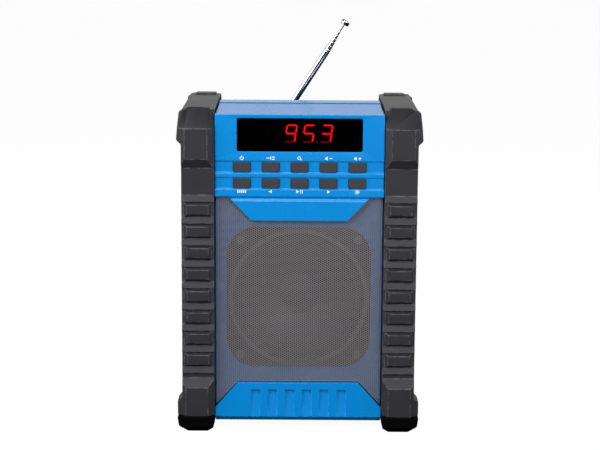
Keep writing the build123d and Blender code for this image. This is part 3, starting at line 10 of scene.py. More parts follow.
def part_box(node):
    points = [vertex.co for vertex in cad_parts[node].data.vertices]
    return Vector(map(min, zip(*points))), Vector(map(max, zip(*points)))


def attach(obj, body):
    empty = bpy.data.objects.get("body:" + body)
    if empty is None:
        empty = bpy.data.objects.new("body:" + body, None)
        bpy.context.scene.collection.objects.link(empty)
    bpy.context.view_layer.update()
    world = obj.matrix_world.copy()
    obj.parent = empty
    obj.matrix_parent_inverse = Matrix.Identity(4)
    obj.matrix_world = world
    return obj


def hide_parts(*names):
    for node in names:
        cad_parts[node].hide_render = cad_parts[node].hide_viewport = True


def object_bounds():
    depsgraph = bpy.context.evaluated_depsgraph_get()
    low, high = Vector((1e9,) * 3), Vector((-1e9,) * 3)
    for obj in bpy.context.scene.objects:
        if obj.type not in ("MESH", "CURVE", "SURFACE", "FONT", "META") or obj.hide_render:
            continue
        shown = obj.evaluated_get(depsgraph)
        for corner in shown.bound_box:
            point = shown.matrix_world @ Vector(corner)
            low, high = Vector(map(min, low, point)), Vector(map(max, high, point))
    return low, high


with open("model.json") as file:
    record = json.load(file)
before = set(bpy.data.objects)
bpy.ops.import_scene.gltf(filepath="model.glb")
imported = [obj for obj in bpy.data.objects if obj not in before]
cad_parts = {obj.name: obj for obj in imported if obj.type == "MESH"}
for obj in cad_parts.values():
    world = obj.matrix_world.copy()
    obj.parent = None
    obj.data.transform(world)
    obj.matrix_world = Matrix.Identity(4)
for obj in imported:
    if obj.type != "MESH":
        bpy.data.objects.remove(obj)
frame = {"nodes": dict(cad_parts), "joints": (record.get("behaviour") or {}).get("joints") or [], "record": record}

bl_info = {
    "name": "Jobsite Radio Dressing",
    "version": (1, 0, 0),
    "blender": (4, 5, 0),
    "location": "3D View > Sidebar > Radio",
    "description": "Finishes the jobsite radio: mouldings, perforated grille, display, antenna and stage",
    "category": "Object",
}

MM = 0.001
CAD_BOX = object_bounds()
RECORD = frame["record"]
BODY = {node: body for body, nodes in RECORD["behaviour"]["bodies"].items() for node in nodes}
JOINTS = {joint["name"]: joint for joint in frame["joints"]}


# ------------------------------------------------------------------ sizes and colours
def colour(name, description, default):
    """A colour property in linear light."""
    return FloatVectorProperty(
        name=name, description=description, default=default, size=3, min=0.0, max=1.0, subtype="COLOR"
    )


def length(name, description, default):
    """A length property in metres."""
    return FloatProperty(name=name, description=description, default=default, min=0.0, unit="LENGTH")


def power(name, description, default):
    """A light's power in watts."""
    return FloatProperty(name=name, description=description, default=default, unit="POWER")


class RadioColours(bpy.types.PropertyGroup):
    """Colours of the radio's finishes"""

    cabinet: colour("Cabinet", "Blue of the front moulding", (0.0, 0.27, 0.74))
    rear: colour("Rear", "Dark grey of the rear moulding and battery door", (0.028, 0.028, 0.031))
    guard: colour("Guards", "Grey of the treaded side guards", (0.031, 0.030, 0.036))
    foot: colour("Feet", "Black rubber of the feet", (0.0012, 0.0012, 0.0015))
    grille: colour("Grille", "Paint of the perforated grille", (0.29, 0.275, 0.285))
    button: colour("Buttons", "Rubber of the push buttons", (0.038, 0.039, 0.054))
    digits: colour("Digits", "Light of the display digits", (1.0, 0.035, 0.05))
    legend: colour("Legends", "Print of the symbols beside the buttons", (0.93, 0.95, 0.96))
    floor: colour("Floor", "Studio floor", (0.90, 0.90, 0.90))


class RadioSizes(bpy.types.PropertyGroup):
    """Sizes of the radio's finishing details"""

    guard_round: length("Guard edge", "Rounding of the guards' edges", 0.7 * MM)
    cabinet_round: length("Cabinet edge", "Rounding of the cabinet's edges", 0.5 * MM)
    hole_pitch: length("Hole pitch", "Distance between the grille's holes", 1.88 * MM)
    hole_width: length("Hole width", "Width of one hole of the grille", 1.50 * MM)
    grille_margin: length("Grille margin", "Plain border of the grille", 0.1 * MM)
    digit_height: length("Digit height", "Height of one display digit", 14.9 * MM)
    digit_pitch: length("Digit pitch", "Distance between display digits", 14.45 * MM)
    legend_height: length("Legend height", "Height of the printed symbols", 3.1 * MM)


class RadioStage(bpy.types.PropertyGroup):
    """Light and camera of the studio"""

    key_power: power("Key light", "Power of the key softbox", 10.0)
    fill_power: power("Fill light", "Power of the fill softbox", 9.0)
    left_power: power("Left light", "Power of the left softbox", 10.0)
    right_power: power("Right light", "Power of the right softbox", 3.0)
    backdrop: FloatProperty(name="Backdrop", description="Brightness of the studio wall behind", default=1.05)
    front: FloatProperty(name="Front", description="Brightness of the rest of the studio", default=0.05)
    lens: FloatProperty(name="Lens", description="Focal length of the camera", default=99.52, unit="CAMERA")


def colours():
    """The colours set in the scene."""
    return bpy.context.scene.radio_colours


def sizes():
    """The sizes set in the scene."""
    return bpy.context.scene.radio_sizes


# ------------------------------------------------------------------ shader nodes
# how the edge mask is broken up and made glossier where edges turn paler: wear on most finishes, and a painted
# highlight on the blue cabinet
WEAR_SHEEN_START, WEAR_SHEEN_GAIN = 0.42, 6.0
PATCH_GLOSS = 1.6
WEAR_SHEEN_GLOSS = -0.12


def add_node(tree, kind, place=(0, 0), **values):
    """Adds a shader node; values go to its input sockets by name."""
    new = tree.nodes.new(kind)
    new.location = place
    for key, value in values.items():
        new.inputs[key.replace("_", " ")].default_value = value
    return new


def math_node(tree, operation, first, second=None, third=None):
    """Adds a math node on sockets or numbers and returns its result."""
    new = tree.nodes.new("ShaderNodeMath")
    new.operation = operation
    for k, given in enumerate((first, second, third)):
        if given is None:
            continue
        if isinstance(given, (int, float)):
            new.inputs[k].default_value = given
        else:
            tree.links.new(given, new.inputs[k])
    return new.outputs[0]


def mix_colour(tree, factor, first, second):
    """Mixes two colours, each a socket or an RGB triple."""
    new = tree.nodes.new("ShaderNodeMix")
    new.data_type = "RGBA"
    for k, given in ((0, factor), (6, first), (7, second)):
        if isinstance(given, bpy.types.NodeSocket):
            tree.links.new(given, new.inputs[k])
        elif k:
            new.inputs[k].default_value = (*given[:3], 1.0)
        else:
            new.inputs[k].default_value = given
    return new.outputs[2]


def effect(name, inputs, outputs):
    """Starts a shader node group with named sockets, or returns None if it is there already."""
    if name in bpy.data.node_groups:
        return None
    group = bpy.data.node_groups.new(name, "ShaderNodeTree")
    for socket_name, default in inputs:
        kind = "NodeSocketVector" if default is None else "NodeSocketFloat"
        socket = group.interface.new_socket(name=socket_name, in_out="INPUT", socket_type=kind)
        if default is not None:
            socket.default_value = default
    for socket_name in outputs:
        group.interface.new_socket(name=socket_name, in_out="OUTPUT", socket_type="NodeSocketFloat")
    return group


def mould_grain():
    """Spark-eroded texture of a moulding: a fine height, and a slow patchiness."""
    name = "Mould grain"
    scales = [("Grain Scale", 2600.0), ("Patch Scale", 40.0)]
    group = effect(name, [("Vector", None), *scales], ["Height", "Patch"])
    if group:
        start = group.nodes.new("NodeGroupInput")
        end = group.nodes.new("NodeGroupOutput")
        fine = add_node(group, "ShaderNodeTexNoise", Detail=3.0, Roughness=0.6)
        pits = add_node(group, "ShaderNodeTexVoronoi")
        patch = add_node(group, "ShaderNodeTexNoise", Detail=4.0, Roughness=0.55)
        for texture, scale in ((fine, "Grain Scale"), (pits, "Grain Scale"), (patch, "Patch Scale")):
            group.links.new(start.outputs["Vector"], texture.inputs["Vector"])
            group.links.new(start.outputs[scale], texture.inputs["Scale"])
        height = math_node(group, "MULTIPLY_ADD", pits.outputs["Distance"], 0.6, fine.outputs[0])
        group.links.new(height, end.inputs["Height"])
        group.links.new(patch.outputs[0], end.inputs["Patch"])
    return bpy.data.node_groups[name]


def edge_wear_and_sheen():
    """Paler edges: the marked edge mask broken up by noise. It is edge wear on most finishes, and a painted
    highlight on the blue cabinet's edges.
    """
    name = "Edge rub"
    group = effect(name, [("Vector", None), ("Edge", 0.0), ("Breakup Scale", 220.0)], ["Rub"])
    if group:
        start = group.nodes.new("NodeGroupInput")
        end = group.nodes.new("NodeGroupOutput")
        noise = add_node(group, "ShaderNodeTexNoise", Detail=5.0, Roughness=0.65)
        group.links.new(start.outputs["Vector"], noise.inputs["Vector"])
        group.links.new(start.outputs["Breakup Scale"], noise.inputs["Scale"])
        broken = math_node(group, "SUBTRACT", noise.outputs[0], WEAR_SHEEN_START)
        gain = math_node(group, "MULTIPLY", broken, WEAR_SHEEN_GAIN)
        held = math_node(group, "MINIMUM", math_node(group, "MAXIMUM", gain, 0.0), 1.0)
        group.links.new(math_node(group, "MULTIPLY", held, start.outputs["Edge"]), end.inputs["Rub"])
    return bpy.data.node_groups[name]


def fine_scratches():
    """Hairline marks along one direction, for metal."""
    name = "Fine scratches"
    group = effect(name, [("Vector", None), ("Scale", 900.0)], ["Marks"])
    if group:
        start = group.nodes.new("NodeGroupInput")
        end = group.nodes.new("NodeGroupOutput")
        stretch = group.nodes.new("ShaderNodeMapping")
        stretch.inputs["Scale"].default_value = (1.0, 1.0, 0.04)
        noise = add_node(group, "ShaderNodeTexNoise", Detail=2.0)
        group.links.new(start.outputs["Vector"], stretch.inputs["Vector"])
        group.links.new(stretch.outputs[0], noise.inputs["Vector"])
        group.links.new(start.outputs["Scale"], noise.inputs["Scale"])
        group.links.new(noise.outputs[0], end.inputs["Marks"])
    return bpy.data.node_groups[name]


def place_group(tree, group):
    """Places a shader node group in a material, fed with object coordinates."""
    new = tree.nodes.new("ShaderNodeGroup")
    new.node_tree = group
    spot = tree.nodes.new("ShaderNodeTexCoord")
    tree.links.new(spot.outputs["Object"], new.inputs["Vector"])
    return new


def start_material(name, **sockets):
    """A new material and its shader with sockets set, or the material that is there already and None."""
    if name in bpy.data.materials:
        return bpy.data.materials[name], None
    material = bpy.data.materials.new(name)
    material.use_nodes = True
    shader = material.node_tree.nodes["Principled BSDF"]
    for key, value in sockets.items():
        shader.inputs[key.replace("_", " ")].default_value = value
    return material, shader


def add_bump(tree, shader, height, strength, distance):
    """Feeds a height into a shader's normal."""
    bump = add_node(tree, "ShaderNodeBump", Strength=strength, Distance=distance)
    tree.links.new(height, bump.inputs["Height"])
    tree.links.new(bump.outputs[0], shader.inputs["Normal"])


def finish(name, tint, rough, grain=0.15, grain_scale=2600.0, patch=0.06, wear_and_sheen=0.0, wear_and_sheen_tint=None, **sockets):
    """A material: a tint with slow patches, mould grain in the bump, and its marked edges mixed towards an edge
    tint. That tint is edge wear on most finishes, and a painted highlight on the blue cabinet.
    """
    material, shader = start_material("radio_" + name, **sockets)
    if shader is None:
        return material
    tree = material.node_tree
    grained = place_group(tree, mould_grain())
    grained.inputs["Grain Scale"].default_value = grain_scale
    lighter = [min(1.0, value * (1.0 + patch)) for value in tint]
    darker = [value * (1.0 - patch) for value in tint]
    shade = mix_colour(tree, grained.outputs["Patch"], darker, lighter)
    swing = PATCH_GLOSS * patch
    roughness = math_node(tree, "MULTIPLY_ADD", grained.outputs["Patch"], swing, rough - swing / 2)
    # paler edges: wear on most finishes; on the blue cabinet this is a painted highlight
    if wear_and_sheen:
        edges = tree.nodes.new("ShaderNodeAttribute")
        edges.attribute_name = "edge"
        wear_and_sheen_node = place_group(tree, edge_wear_and_sheen())
        tree.links.new(edges.outputs["Fac"], wear_and_sheen_node.inputs["Edge"])
        amount = math_node(tree, "MULTIPLY", wear_and_sheen_node.outputs["Rub"], wear_and_sheen)
        shade = mix_colour(tree, amount, shade, wear_and_sheen_tint)
        roughness = math_node(tree, "MULTIPLY_ADD", amount, WEAR_SHEEN_GLOSS, roughness)
    tree.links.new(shade, shader.inputs["Base Color"])
    tree.links.new(roughness, shader.inputs["Roughness"])
    add_bump(tree, shader, grained.outputs["Height"], grain, 0.12 * MM)
    return material


def metal(name, tint, rough, marks=0.08, scale=900.0):
    """A bare metal with hairline marks in its gloss and its bump."""
    material, shader = start_material("radio_" + name, Metallic=1.0)
    if shader is None:
        return material
    tree = material.node_tree
    worn = place_group(tree, fine_scratches())
    worn.inputs["Scale"].default_value = scale
    shade = mix_colour(tree, worn.outputs["Marks"], [0.86 * value for value in tint], tint)
    tree.links.new(shade, shader.inputs["Base Color"])
    tree.links.new(
        math_node(tree, "MULTIPLY_ADD", worn.outputs["Marks"], marks, rough), shader.inputs["Roughness"]
    )
    add_bump(tree, shader, worn.outputs["Marks"], 0.05, 0.05 * MM)
    return material


def blue_plastic():
    """Blue of the front moulding, a fine satin, with a painted highlight: its edges are painted paler blue to
    stand in for the gloss on rounder edges.
    """
    # painted highlight: the paler blue edge tint stands in for the gloss on the fascia's rounded edges
    return finish(
        "blue_plastic", colours().cabinet, 0.27, grain=0.08, patch=0.03, wear_and_sheen=0.6, wear_and_sheen_tint=(0.10, 0.48, 0.92),
        Specular_IOR_Level=0.5,
    )


def rear_plastic():
    """Dark textured moulding of the back."""
    return finish(
        "rear_plastic", colours().rear, 0.52, grain=0.32, patch=0.10, wear_and_sheen=0.5, wear_and_sheen_tint=(0.09, 0.09, 0.095)
    )


def guard_plastic():
    """Tough grey moulding of the guards, rubbed paler along its edges."""
    return finish(
        "guard_plastic", colours().guard, 0.47, grain=0.30, patch=0.10, wear_and_sheen=0.7, wear_and_sheen_tint=(0.17, 0.16, 0.175),
        Specular_IOR_Level=0.33,
    )


def foot_rubber():
    """Black rubber of the feet."""
    return finish(
        "foot_rubber", colours().foot, 0.62, grain=0.25, patch=0.15, wear_and_sheen=0.5, wear_and_sheen_tint=(0.006, 0.006, 0.006),
        Specular_IOR_Level=0.05,
    )


def grille_paint():
    """Warm grey paint of the perforated sheet."""
    return finish("grille_paint", colours().grille, 0.38, grain=0.08, patch=0.05, Metallic=0.3)


def button_rubber():
    """Grey silicone of the push buttons."""
    return finish(
        "button_rubber", colours().button, 0.50, grain=0.22, patch=0.06, wear_and_sheen=0.4, wear_and_sheen_tint=(0.14, 0.13, 0.15)
    )


def flap_rubber():
    """Soft black rubber of the socket flap."""
    return finish("flap_rubber", (0.012, 0.012, 0.0125), 0.60, grain=0.25, patch=0.12)


def chrome():
    """Polished chrome of the antenna."""
    return metal("antenna_chrome", (0.86, 0.86, 0.87), 0.12, marks=0.05)


def zinc():
    """Zinc-plated steel."""
    return metal("zinc_steel", (0.50, 0.51, 0.52), 0.28, marks=0.20, scale=500.0)


def black_steel():
    """Black-oxide steel of the screws."""
    return metal("black_steel", (0.16, 0.16, 0.165), 0.32, marks=0.20, scale=600.0)


# ------------------------------------------------------------------ meshes
WELD = 0.004 * MM
FLAT = math.radians(0.4)
# an edge is rounded where it and its neighbours are longer than this many roundings
ROOM = 2.1


def piece_from(bm, name, material, body, smooth=35.0, outward=True):
    """Turns a bmesh into a named piece that rides on a body and takes its finish from a slot."""
    if outward:
        bmesh.ops.recalc_face_normals(bm, faces=bm.faces)
    mesh = bpy.data.meshes.new(name)
    bm.to_mesh(mesh)
    bm.free()
    piece = bpy.data.objects.new(name, mesh)
    bpy.context.scene.collection.objects.link(piece)
    mesh.materials.append(material)
    mesh.shade_smooth()
    mesh.set_sharp_from_angle(angle=math.radians(smooth))
    weighted = piece.modifiers.new("Even shading", "WEIGHTED_NORMAL")
    weighted.keep_sharp = True
    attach(piece, body)
    return piece


def inside(point, sides):
    """Whether a point is enclosed by sides, each a pair of points."""
    x, z = point
    hit = False
    for (ax, az), (bx, bz) in sides:
        if (az > z) != (bz > z) and x < (bx - ax) * (z - az) / (bz - az) + ax:
            hit = not hit
    return hit


def flat_region(seed, taken):
    """The faces that lie in a face's plane and join it, and the edges of their common rim."""
    def in_plane(face):
        """Whether all of a face's corners lie in the seed's plane."""
        return all(abs((vert.co - spot).dot(normal)) < WELD for vert in face.verts)

    spot, normal = seed.verts[0].co, seed.normal
    # a dict keeps the order of its keys, so that each run meshes the region alike
    region, queue = {seed: True}, [seed]
    while queue:
        for edge in queue.pop().edges:
            for face in edge.link_faces:
                if face not in region and face not in taken and in_plane(face):
                    region[face] = True
                    queue.append(face)
    rim = [edge for face in region for edge in face.edges if sum(f in region for f in edge.link_faces) == 1]
    return region, rim


def refill_flats(bm):
    """Meshes every flat region anew inside its own rim, so that no face crosses itself."""
    taken = set()
    for seed in sorted(bm.faces, key=lambda face: -face.calc_area()):
        if not seed.is_valid or seed in taken:
            continue
        region, rim = flat_region(seed, taken)
        taken.update(region)
        if len(region) == 1 and len(seed.verts) < 5:
            continue
        normal = seed.normal.copy()
        side = normal.orthogonal().normalized()
        other = normal.cross(side)
        verts = list(dict.fromkeys(vert for edge in rim for vert in edge.verts))
        place = {vert: k for k, vert in enumerate(verts)}
        flat = [Vector((vert.co.dot(side), vert.co.dot(other))) for vert in verts]
        sides = [tuple(place[vert] for vert in edge.verts) for edge in rim]
        spots, _, faces, origins, _, _ = delaunay_2d_cdt(flat, sides, [], 0, 1e-9)
        walls = [(flat[a], flat[b]) for a, b in sides]
        depth = verts[0].co.dot(normal)
        corners = [
            verts[origin[0]] if origin else bm.verts.new(side * spot.x + other * spot.y + normal * depth)
            for spot, origin in zip(spots, origins)
        ]
        bmesh.ops.delete(bm, geom=list(region), context="FACES_KEEP_BOUNDARY")
        for face in faces:
            if inside(sum((spots[k] for k in face), Vector((0.0, 0.0))) / len(face), walls):
                new = bm.faces.new([corners[k] for k in face])
                new.normal_update()
                if new.normal.dot(normal) < 0:
                    new.normal_flip()
                taken.add(new)


def rounded_copy(node, material, radius, name=None, sharp=28.0, lift=None):
    """A copy of a CAD node with its sharp edges rounded, in the node's place.

    lift is a depth, a height and an amount: the corners at that depth and height are raised by the amount.
    """
    bm = bmesh.new()
    bm.from_mesh(frame["nodes"][node].data)
    bmesh.ops.remove_doubles(bm, verts=bm.verts, dist=WELD)
    bmesh.ops.dissolve_degenerate(bm, edges=bm.edges, dist=WELD)
    bmesh.ops.dissolve_limit(bm, angle_limit=FLAT, verts=bm.verts, edges=bm.edges)
    if lift:
        for vert in bm.verts:
            if abs(vert.co.y - lift[0]) < 0.1 * MM and abs(vert.co.z - lift[1]) < 0.1 * MM:
                vert.co.z += lift[2]
    mask = bm.verts.layers.float.new("edge")
    if radius > 0:
        def roomy(vert, edge):
            """Whether the other edges at a vertex leave room for the rounding."""
            return all(other is edge or other.calc_length() > ROOM * radius for other in vert.link_edges)

        picked = [
            edge for edge in bm.edges
            if len(edge.link_faces) == 2
            and edge.calc_face_angle(0.0) > math.radians(sharp)
            and edge.calc_length() > ROOM * radius
            and all(roomy(vert, edge) for vert in edge.verts)
        ]
        made = bmesh.ops.bevel(
            bm, geom=picked, offset=radius, offset_type="OFFSET", segments=2,
            profile=0.5, affect="EDGES", clamp_overlap=False, loop_slide=False,
        )
        fresh = set(made["faces"])
        for vert in bm.verts:
            if vert.link_faces and all(face in fresh for face in vert.link_faces):
                vert[mask] = 1.0
    refill_flats(bm)
    bmesh.ops.dissolve_limit(bm, angle_limit=FLAT, verts=[], edges=bm.edges)
    piece = piece_from(bm, name or node + "_shell", material, BODY[node], outward=False)
    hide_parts(node)
    return piece


def dress(node, material):
    """Gives a CAD node that stays its material."""
    mesh = frame["nodes"][node].data
    mesh.materials.clear()
    mesh.materials.append(material)


def prism(bm, outline, front, back):
    """Adds a closed prism with an outline in X and Z, between two depths Y."""
    near = [bm.verts.new((x, front, z)) for x, z in outline]
    far = [bm.verts.new((x, back, z)) for x, z in outline]
    bm.faces.new(near)
    bm.faces.new(far[::-1])
    count = len(outline)
    for k in range(count):
        bm.faces.new((near[k], far[k], far[(k + 1) % count], near[(k + 1) % count]))


def turned(bm, profile, origin, axis, steps=48):
    """Adds a lathed form: (radius, distance) pairs about an axis. A radius of 0 closes it."""
    axis = Vector(axis).normalized()
    side = axis.orthogonal().normalized()
    other = axis.cross(side)
    rings = []
    for radius, along in profile:
        middle = Vector(origin) + axis * along
        if radius <= 0:
            rings.append([bm.verts.new(middle)])
            continue
        rings.append([
            bm.verts.new(middle + radius * (
                math.cos(2 * math.pi * k / steps) * side + math.sin(2 * math.pi * k / steps) * other
            ))
            for k in range(steps)
        ])
    for first, second in zip(rings, rings[1:]):
        for k in range(steps):
            corners = [first[k % len(first)], first[(k + 1) % len(first)],
                       second[(k + 1) % len(second)], second[k % len(second)]]
            kept = []
            for corner in corners:
                if corner not in kept:
                    kept.append(corner)
            if len(kept) > 2:
                bm.faces.new(kept)


def inset(outline, amount):
    """Moves each side of a closed counter-clockwise outline inwards by amount."""
    moved = []
    count = len(outline)
    for k in range(count):
        before = Vector(outline[k - 1])
        here = Vector(outline[k])
        after = Vector(outline[(k + 1) % count])
        first = (here - before).normalized()
        second = (after - here).normalized()
        left = Vector((-first.y, first.x))
        right = Vector((-second.y, second.x))
        middle = (left + right).normalized()
        moved.append(tuple(here + middle * (amount / middle.dot(left))))
    return moved


# ------------------------------------------------------------------ grille
def grille_outline():
    """The corners of the grille pan, counter-clockwise in X and Z, read from its CAD node."""
    mesh = frame["nodes"]["speaker_grille"].data
    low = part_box("speaker_grille")[0].y
    spots = {(round(v.co.x, 6), round(v.co.z, 6)) for v in mesh.vertices if v.co.y < low + WELD}
    middle = Vector((0.0, (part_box("speaker_grille")[0].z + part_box("speaker_grille")[1].z) / 2))
    right = sorted((s for s in spots if s[0] > 0), key=lambda s: math.atan2(s[1] - middle.y, s[0]))
    return right + [(-x, z) for x, z in reversed(right)]


def hole_spots(outline, pitch, clear):
    """Centres of the staggered holes that lie at least clear inside an outline."""
    border = inset(outline, clear)
    walls = list(zip(border, border[1:] + border[:1]))
    xs = [x for x, _ in border]
    zs = [z for _, z in border]
    column_step = pitch * math.cos(math.pi / 6)
    middle_z = (min(zs) + max(zs)) / 2
    spots = []
    columns = int(max(xs) / column_step) + 1
    rows = int((max(zs) - min(zs)) / pitch / 2) + 2
    for i in range(-columns, columns + 1):
        for j in range(-rows, rows + 1):
            spot = (i * column_step, middle_z + (j + 0.5 * (i % 2)) * pitch)
            if inside(spot, walls):
                spots.append(spot)
    return spots


class RADIO_OT_grille(bpy.types.Operator):
    """Builds the perforated sheet with its folded skirt in place of the plain pan"""

    bl_idname = "radio.grille"
    bl_label = "Perforated Grille"

    def execute(self, context):
        size = sizes()
        outline = grille_outline()
        low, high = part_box("speaker_grille")
        front = low.y
        thick = 0.4 * MM
        bend = 0.5 * MM
        half = size.hole_width / 2
        flat = inset(outline, bend)
        holes = hole_spots(outline, size.hole_pitch, bend + size.grille_margin)
        corners = [(half * math.cos(k * math.pi / 3), half * math.sin(k * math.pi / 3)) for k in range(6)]
        points = [Vector(p) for p in flat]
        loops = [list(range(len(flat)))]
        for x, z in holes:
            start = len(points)
            points.extend(Vector((x + dx, z + dz)) for dx, dz in corners)
            loops.append(list(range(start, start + 6)))
        spots, _, faces, _, _, sources = delaunay_2d_cdt(points, [], loops, 1, 1e-9)
        bm = bmesh.new()
        near = [bm.verts.new((p.x, front, p.y)) for p in spots]
        far = [bm.verts.new((p.x, front + thick, p.y)) for p in spots]
        solid = [face for face, source in zip(faces, sources) if source == [0]]
        for face in solid:
            bm.faces.new([near[k] for k in face])
            bm.faces.new([far[k] for k in reversed(face)])
        sides = {side: None for face in solid for side in zip(face, face[1:] + face[:1])}
        rim = {tuple(round(c, 7) for c in p) for p in flat}

        def on_rim(index):
            """Whether a vertex is a corner of the sheet's flat face."""
            return tuple(round(c, 7) for c in spots[index]) in rim

        for a, b in sides:
            if (b, a) not in sides and not (on_rim(a) and on_rim(b)):
                bm.faces.new((near[a], near[b], far[b], far[a]))
        # the folded skirt, a rounded bend and a wall that runs back to the baffle
        section = [
            (bend, 0.0), (0.70 * bend, 0.03 * bend), (0.35 * bend, 0.20 * bend), (0.10 * bend, 0.52 * bend),
            (0.0, bend), (0.0, high.y - front), (thick, high.y - front), (thick, thick), (bend, thick),
        ]
        rings = [
            [bm.verts.new((x, front + depth, z)) for x, z in inset(outline, amount)] for amount, depth in section
        ]
        for first, second in zip(rings, rings[1:]):
            for k in range(len(outline)):
                m = (k + 1) % len(outline)
                bm.faces.new((first[k], first[m], second[m], second[k]))
        bmesh.ops.remove_doubles(bm, verts=bm.verts, dist=WELD)
        piece = piece_from(bm, "grille_sheet", grille_paint(), BODY["speaker_grille"])
        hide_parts("speaker_grille")
        return {"FINISHED"}


# ------------------------------------------------------------------ mouldings
class RADIO_OT_cabinet(bpy.types.Operator):
    """Rounds the edges of the front and rear mouldings"""

    bl_idname = "radio.cabinet"
    bl_label = "Cabinet"

    def execute(self, context):
        ledge = (-20.0 * MM, 267.7 * MM, 1.3 * MM)
        rounded_copy("front_cabinet", blue_plastic(), sizes().cabinet_round, lift=ledge)
        rounded_copy("rear_cabinet", rear_plastic(), sizes().cabinet_round)
        rounded_copy("battery_door", rear_plastic(), 0.35 * MM)
        rounded_copy("socket_flap", flap_rubber(), 0.4 * MM)
        return {"FINISHED"}


class RADIO_OT_guards(bpy.types.Operator):
    """Rounds the treaded side guards and their rubber feet"""

    bl_idname = "radio.guards"
    bl_label = "Guards and Feet"

    def execute(self, context):
        for node in ("left_guard", "right_guard"):
            rounded_copy(node, guard_plastic(), sizes().guard_round, sharp=18.0)
        for node in ("foot_front_left", "foot_front_right", "foot_rear_left", "foot_rear_right"):
            rounded_copy(node, foot_rubber(), 1.0 * MM, sharp=18.0)
        return {"FINISHED"}


# ------------------------------------------------------------------ display
def smoked_lens():
    """Dark red-tinted acrylic, polished."""
    material, shader = start_material("smoked_lens", Transmission_Weight=1.0, IOR=1.2)
    if shader is None:
        return material
    tree = material.node_tree
    haze = place_group(tree, mould_grain())
    haze.inputs["Grain Scale"].default_value = 900.0
    tint = mix_colour(tree, haze.outputs["Patch"], (0.12, 0.013, 0.016), (0.13, 0.015, 0.018))
    tree.links.new(tint, shader.inputs["Base Color"])
    roughness = math_node(tree, "MULTIPLY_ADD", haze.outputs["Patch"], 0.03, 0.01)
    tree.links.new(roughness, shader.inputs["Roughness"])
    return material


def digit_light(name, tint, strength, idle):
    """A segment of the display: idle colour with its own red light."""
    material, shader = start_material(name, Roughness=0.4, Emission_Strength=strength)
    if shader is None:
        return material
    tree = material.node_tree
    glow = place_group(tree, mould_grain())
    glow.inputs["Patch Scale"].default_value = 700.0
    weak = [0.8 * value for value in tint]
    tree.links.new(mix_colour(tree, glow.outputs["Patch"], weak, tint), shader.inputs["Emission Color"])
    base = mix_colour(tree, glow.outputs["Patch"], idle, [0.8 * value for value in idle])
    tree.links.new(base, shader.inputs["Base Color"])
    return material


SEGMENTS = {
    "top": ((0, 1), (1, 1)), "upper_right": ((1, 1), (1, 0.5)), "lower_right": ((1, 0.5), (1, 0)),
    "bottom": ((0, 0), (1, 0)), "lower_left": ((0, 0), (0, 0.5)), "upper_left": ((0, 0.5), (0, 1)),
    "middle": ((0, 0.5), (1, 0.5)),
}
SHOWN = {
    "9": ("top", "upper_right", "lower_right", "upper_left", "middle"),
    "5": ("top", "upper_left", "middle", "lower_right"),
    "3": ("top", "upper_right", "lower_right", "middle"),
    " ": (),
}


def segment_outline(start, end, width, gap):
    """A six-cornered bar between two points, pointed at both ends."""
    start, end = Vector(start), Vector(end)
    along = (end - start).normalized()
    across = Vector((-along.y, along.x)) * width / 2
    start = start + along * gap
    end = end - along * gap
    point = along * width / 2
    return [
        start, start + point - across, end - point - across,
        end, end - point + across, start + point + across,
    ]


class RADIO_OT_display(bpy.types.Operator):
    """Builds the smoked lens, the LED module and its seven-segment digits"""

    bl_idname = "radio.display"
    bl_label = "Display"

    def execute(self, context):
        size = sizes()
        rounded_copy("display_lens", smoked_lens(), 0.0)
        rounded_copy("led_display", finish("led_black", (0.004, 0.004, 0.004), 0.55, grain=0.2), 0.3 * MM)
        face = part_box("led_display")[0].y
        front, back = face - 0.15 * MM, face + 0.05 * MM
        lens_low, lens_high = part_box("display_lens")
        middle_z = (lens_low.z + lens_high.z) / 2 + 0.95 * MM
        stroke = 1.25 * MM
        reach = 7.9 * MM
        slant = math.tan(math.radians(8.5))
        first_right = -16.7 * MM
        point_gap = 1.6 * MM
        lit, faint, idle = bmesh.new(), bmesh.new(), bmesh.new()
        rise = size.digit_height - stroke
        for k, digit in enumerate(" 953"):
            left = first_right + size.digit_pitch * k - reach - slant * rise / 2
            for name, (start, end) in SEGMENTS.items():
                def spot(corner):
                    """A corner of the digit's grid, sheared to its slant."""
                    z = (corner[1] - 0.5) * rise
                    return (left + corner[0] * reach + slant * z, middle_z + z)
                shape = segment_outline(spot(start), spot(end), stroke, 0.18 * MM)
                if name in SHOWN[digit]:
                    group = lit
                elif name == "bottom" and digit != " ":
                    group = faint
                else:
                    group = idle
                prism(group, [(p.x, p.y) for p in shape], front, back)
        point = disc(first_right + 2 * size.digit_pitch + point_gap, middle_z - rise / 2, 0.75 * MM, 16)
        prism(faint, point, front, back)
        glow = (0.3, 0.02, 0.02)
        for bm, state, strength, tint in (
            (lit, "lit", 10.0, glow), (faint, "dim", 1.2, glow), (idle, "off", 0.015, (0.10, 0.09, 0.10)),
        ):
            light = digit_light("digit_" + state, colours().digits, strength, tint)
            piece_from(bm, "digit_segments_" + state, light, BODY["led_display"])
        return {"FINISHED"}


# ------------------------------------------------------------------ buttons and their symbols
class RADIO_OT_buttons(bpy.types.Operator):
    """Dresses the ten push buttons and the mat behind them"""

    bl_idname = "radio.buttons"
    bl_label = "Buttons"

    def execute(self, context):
        for node in frame["nodes"]:
            if node.startswith("button_"):
                rounded_copy(node, button_rubber(), 0.0, name=node + "_cap")
        dress("keypad_mat", finish("mat_silicone", (0.30, 0.30, 0.32), 0.55, grain=0.1))
        return {"FINISHED"}


def arc(middle, radius, first, last, width, steps=20):
    """A curved bar: the outline of an arc of a ring, angles in degrees."""
    angles = [math.radians(first + (last - first) * k / steps) for k in range(steps + 1)]
    outer, inner = (
        [(middle[0] + r * math.cos(a), middle[1] + r * math.sin(a)) for a in angles]
        for r in (radius + width / 2, radius - width / 2)
    )
    return outer + inner[::-1]


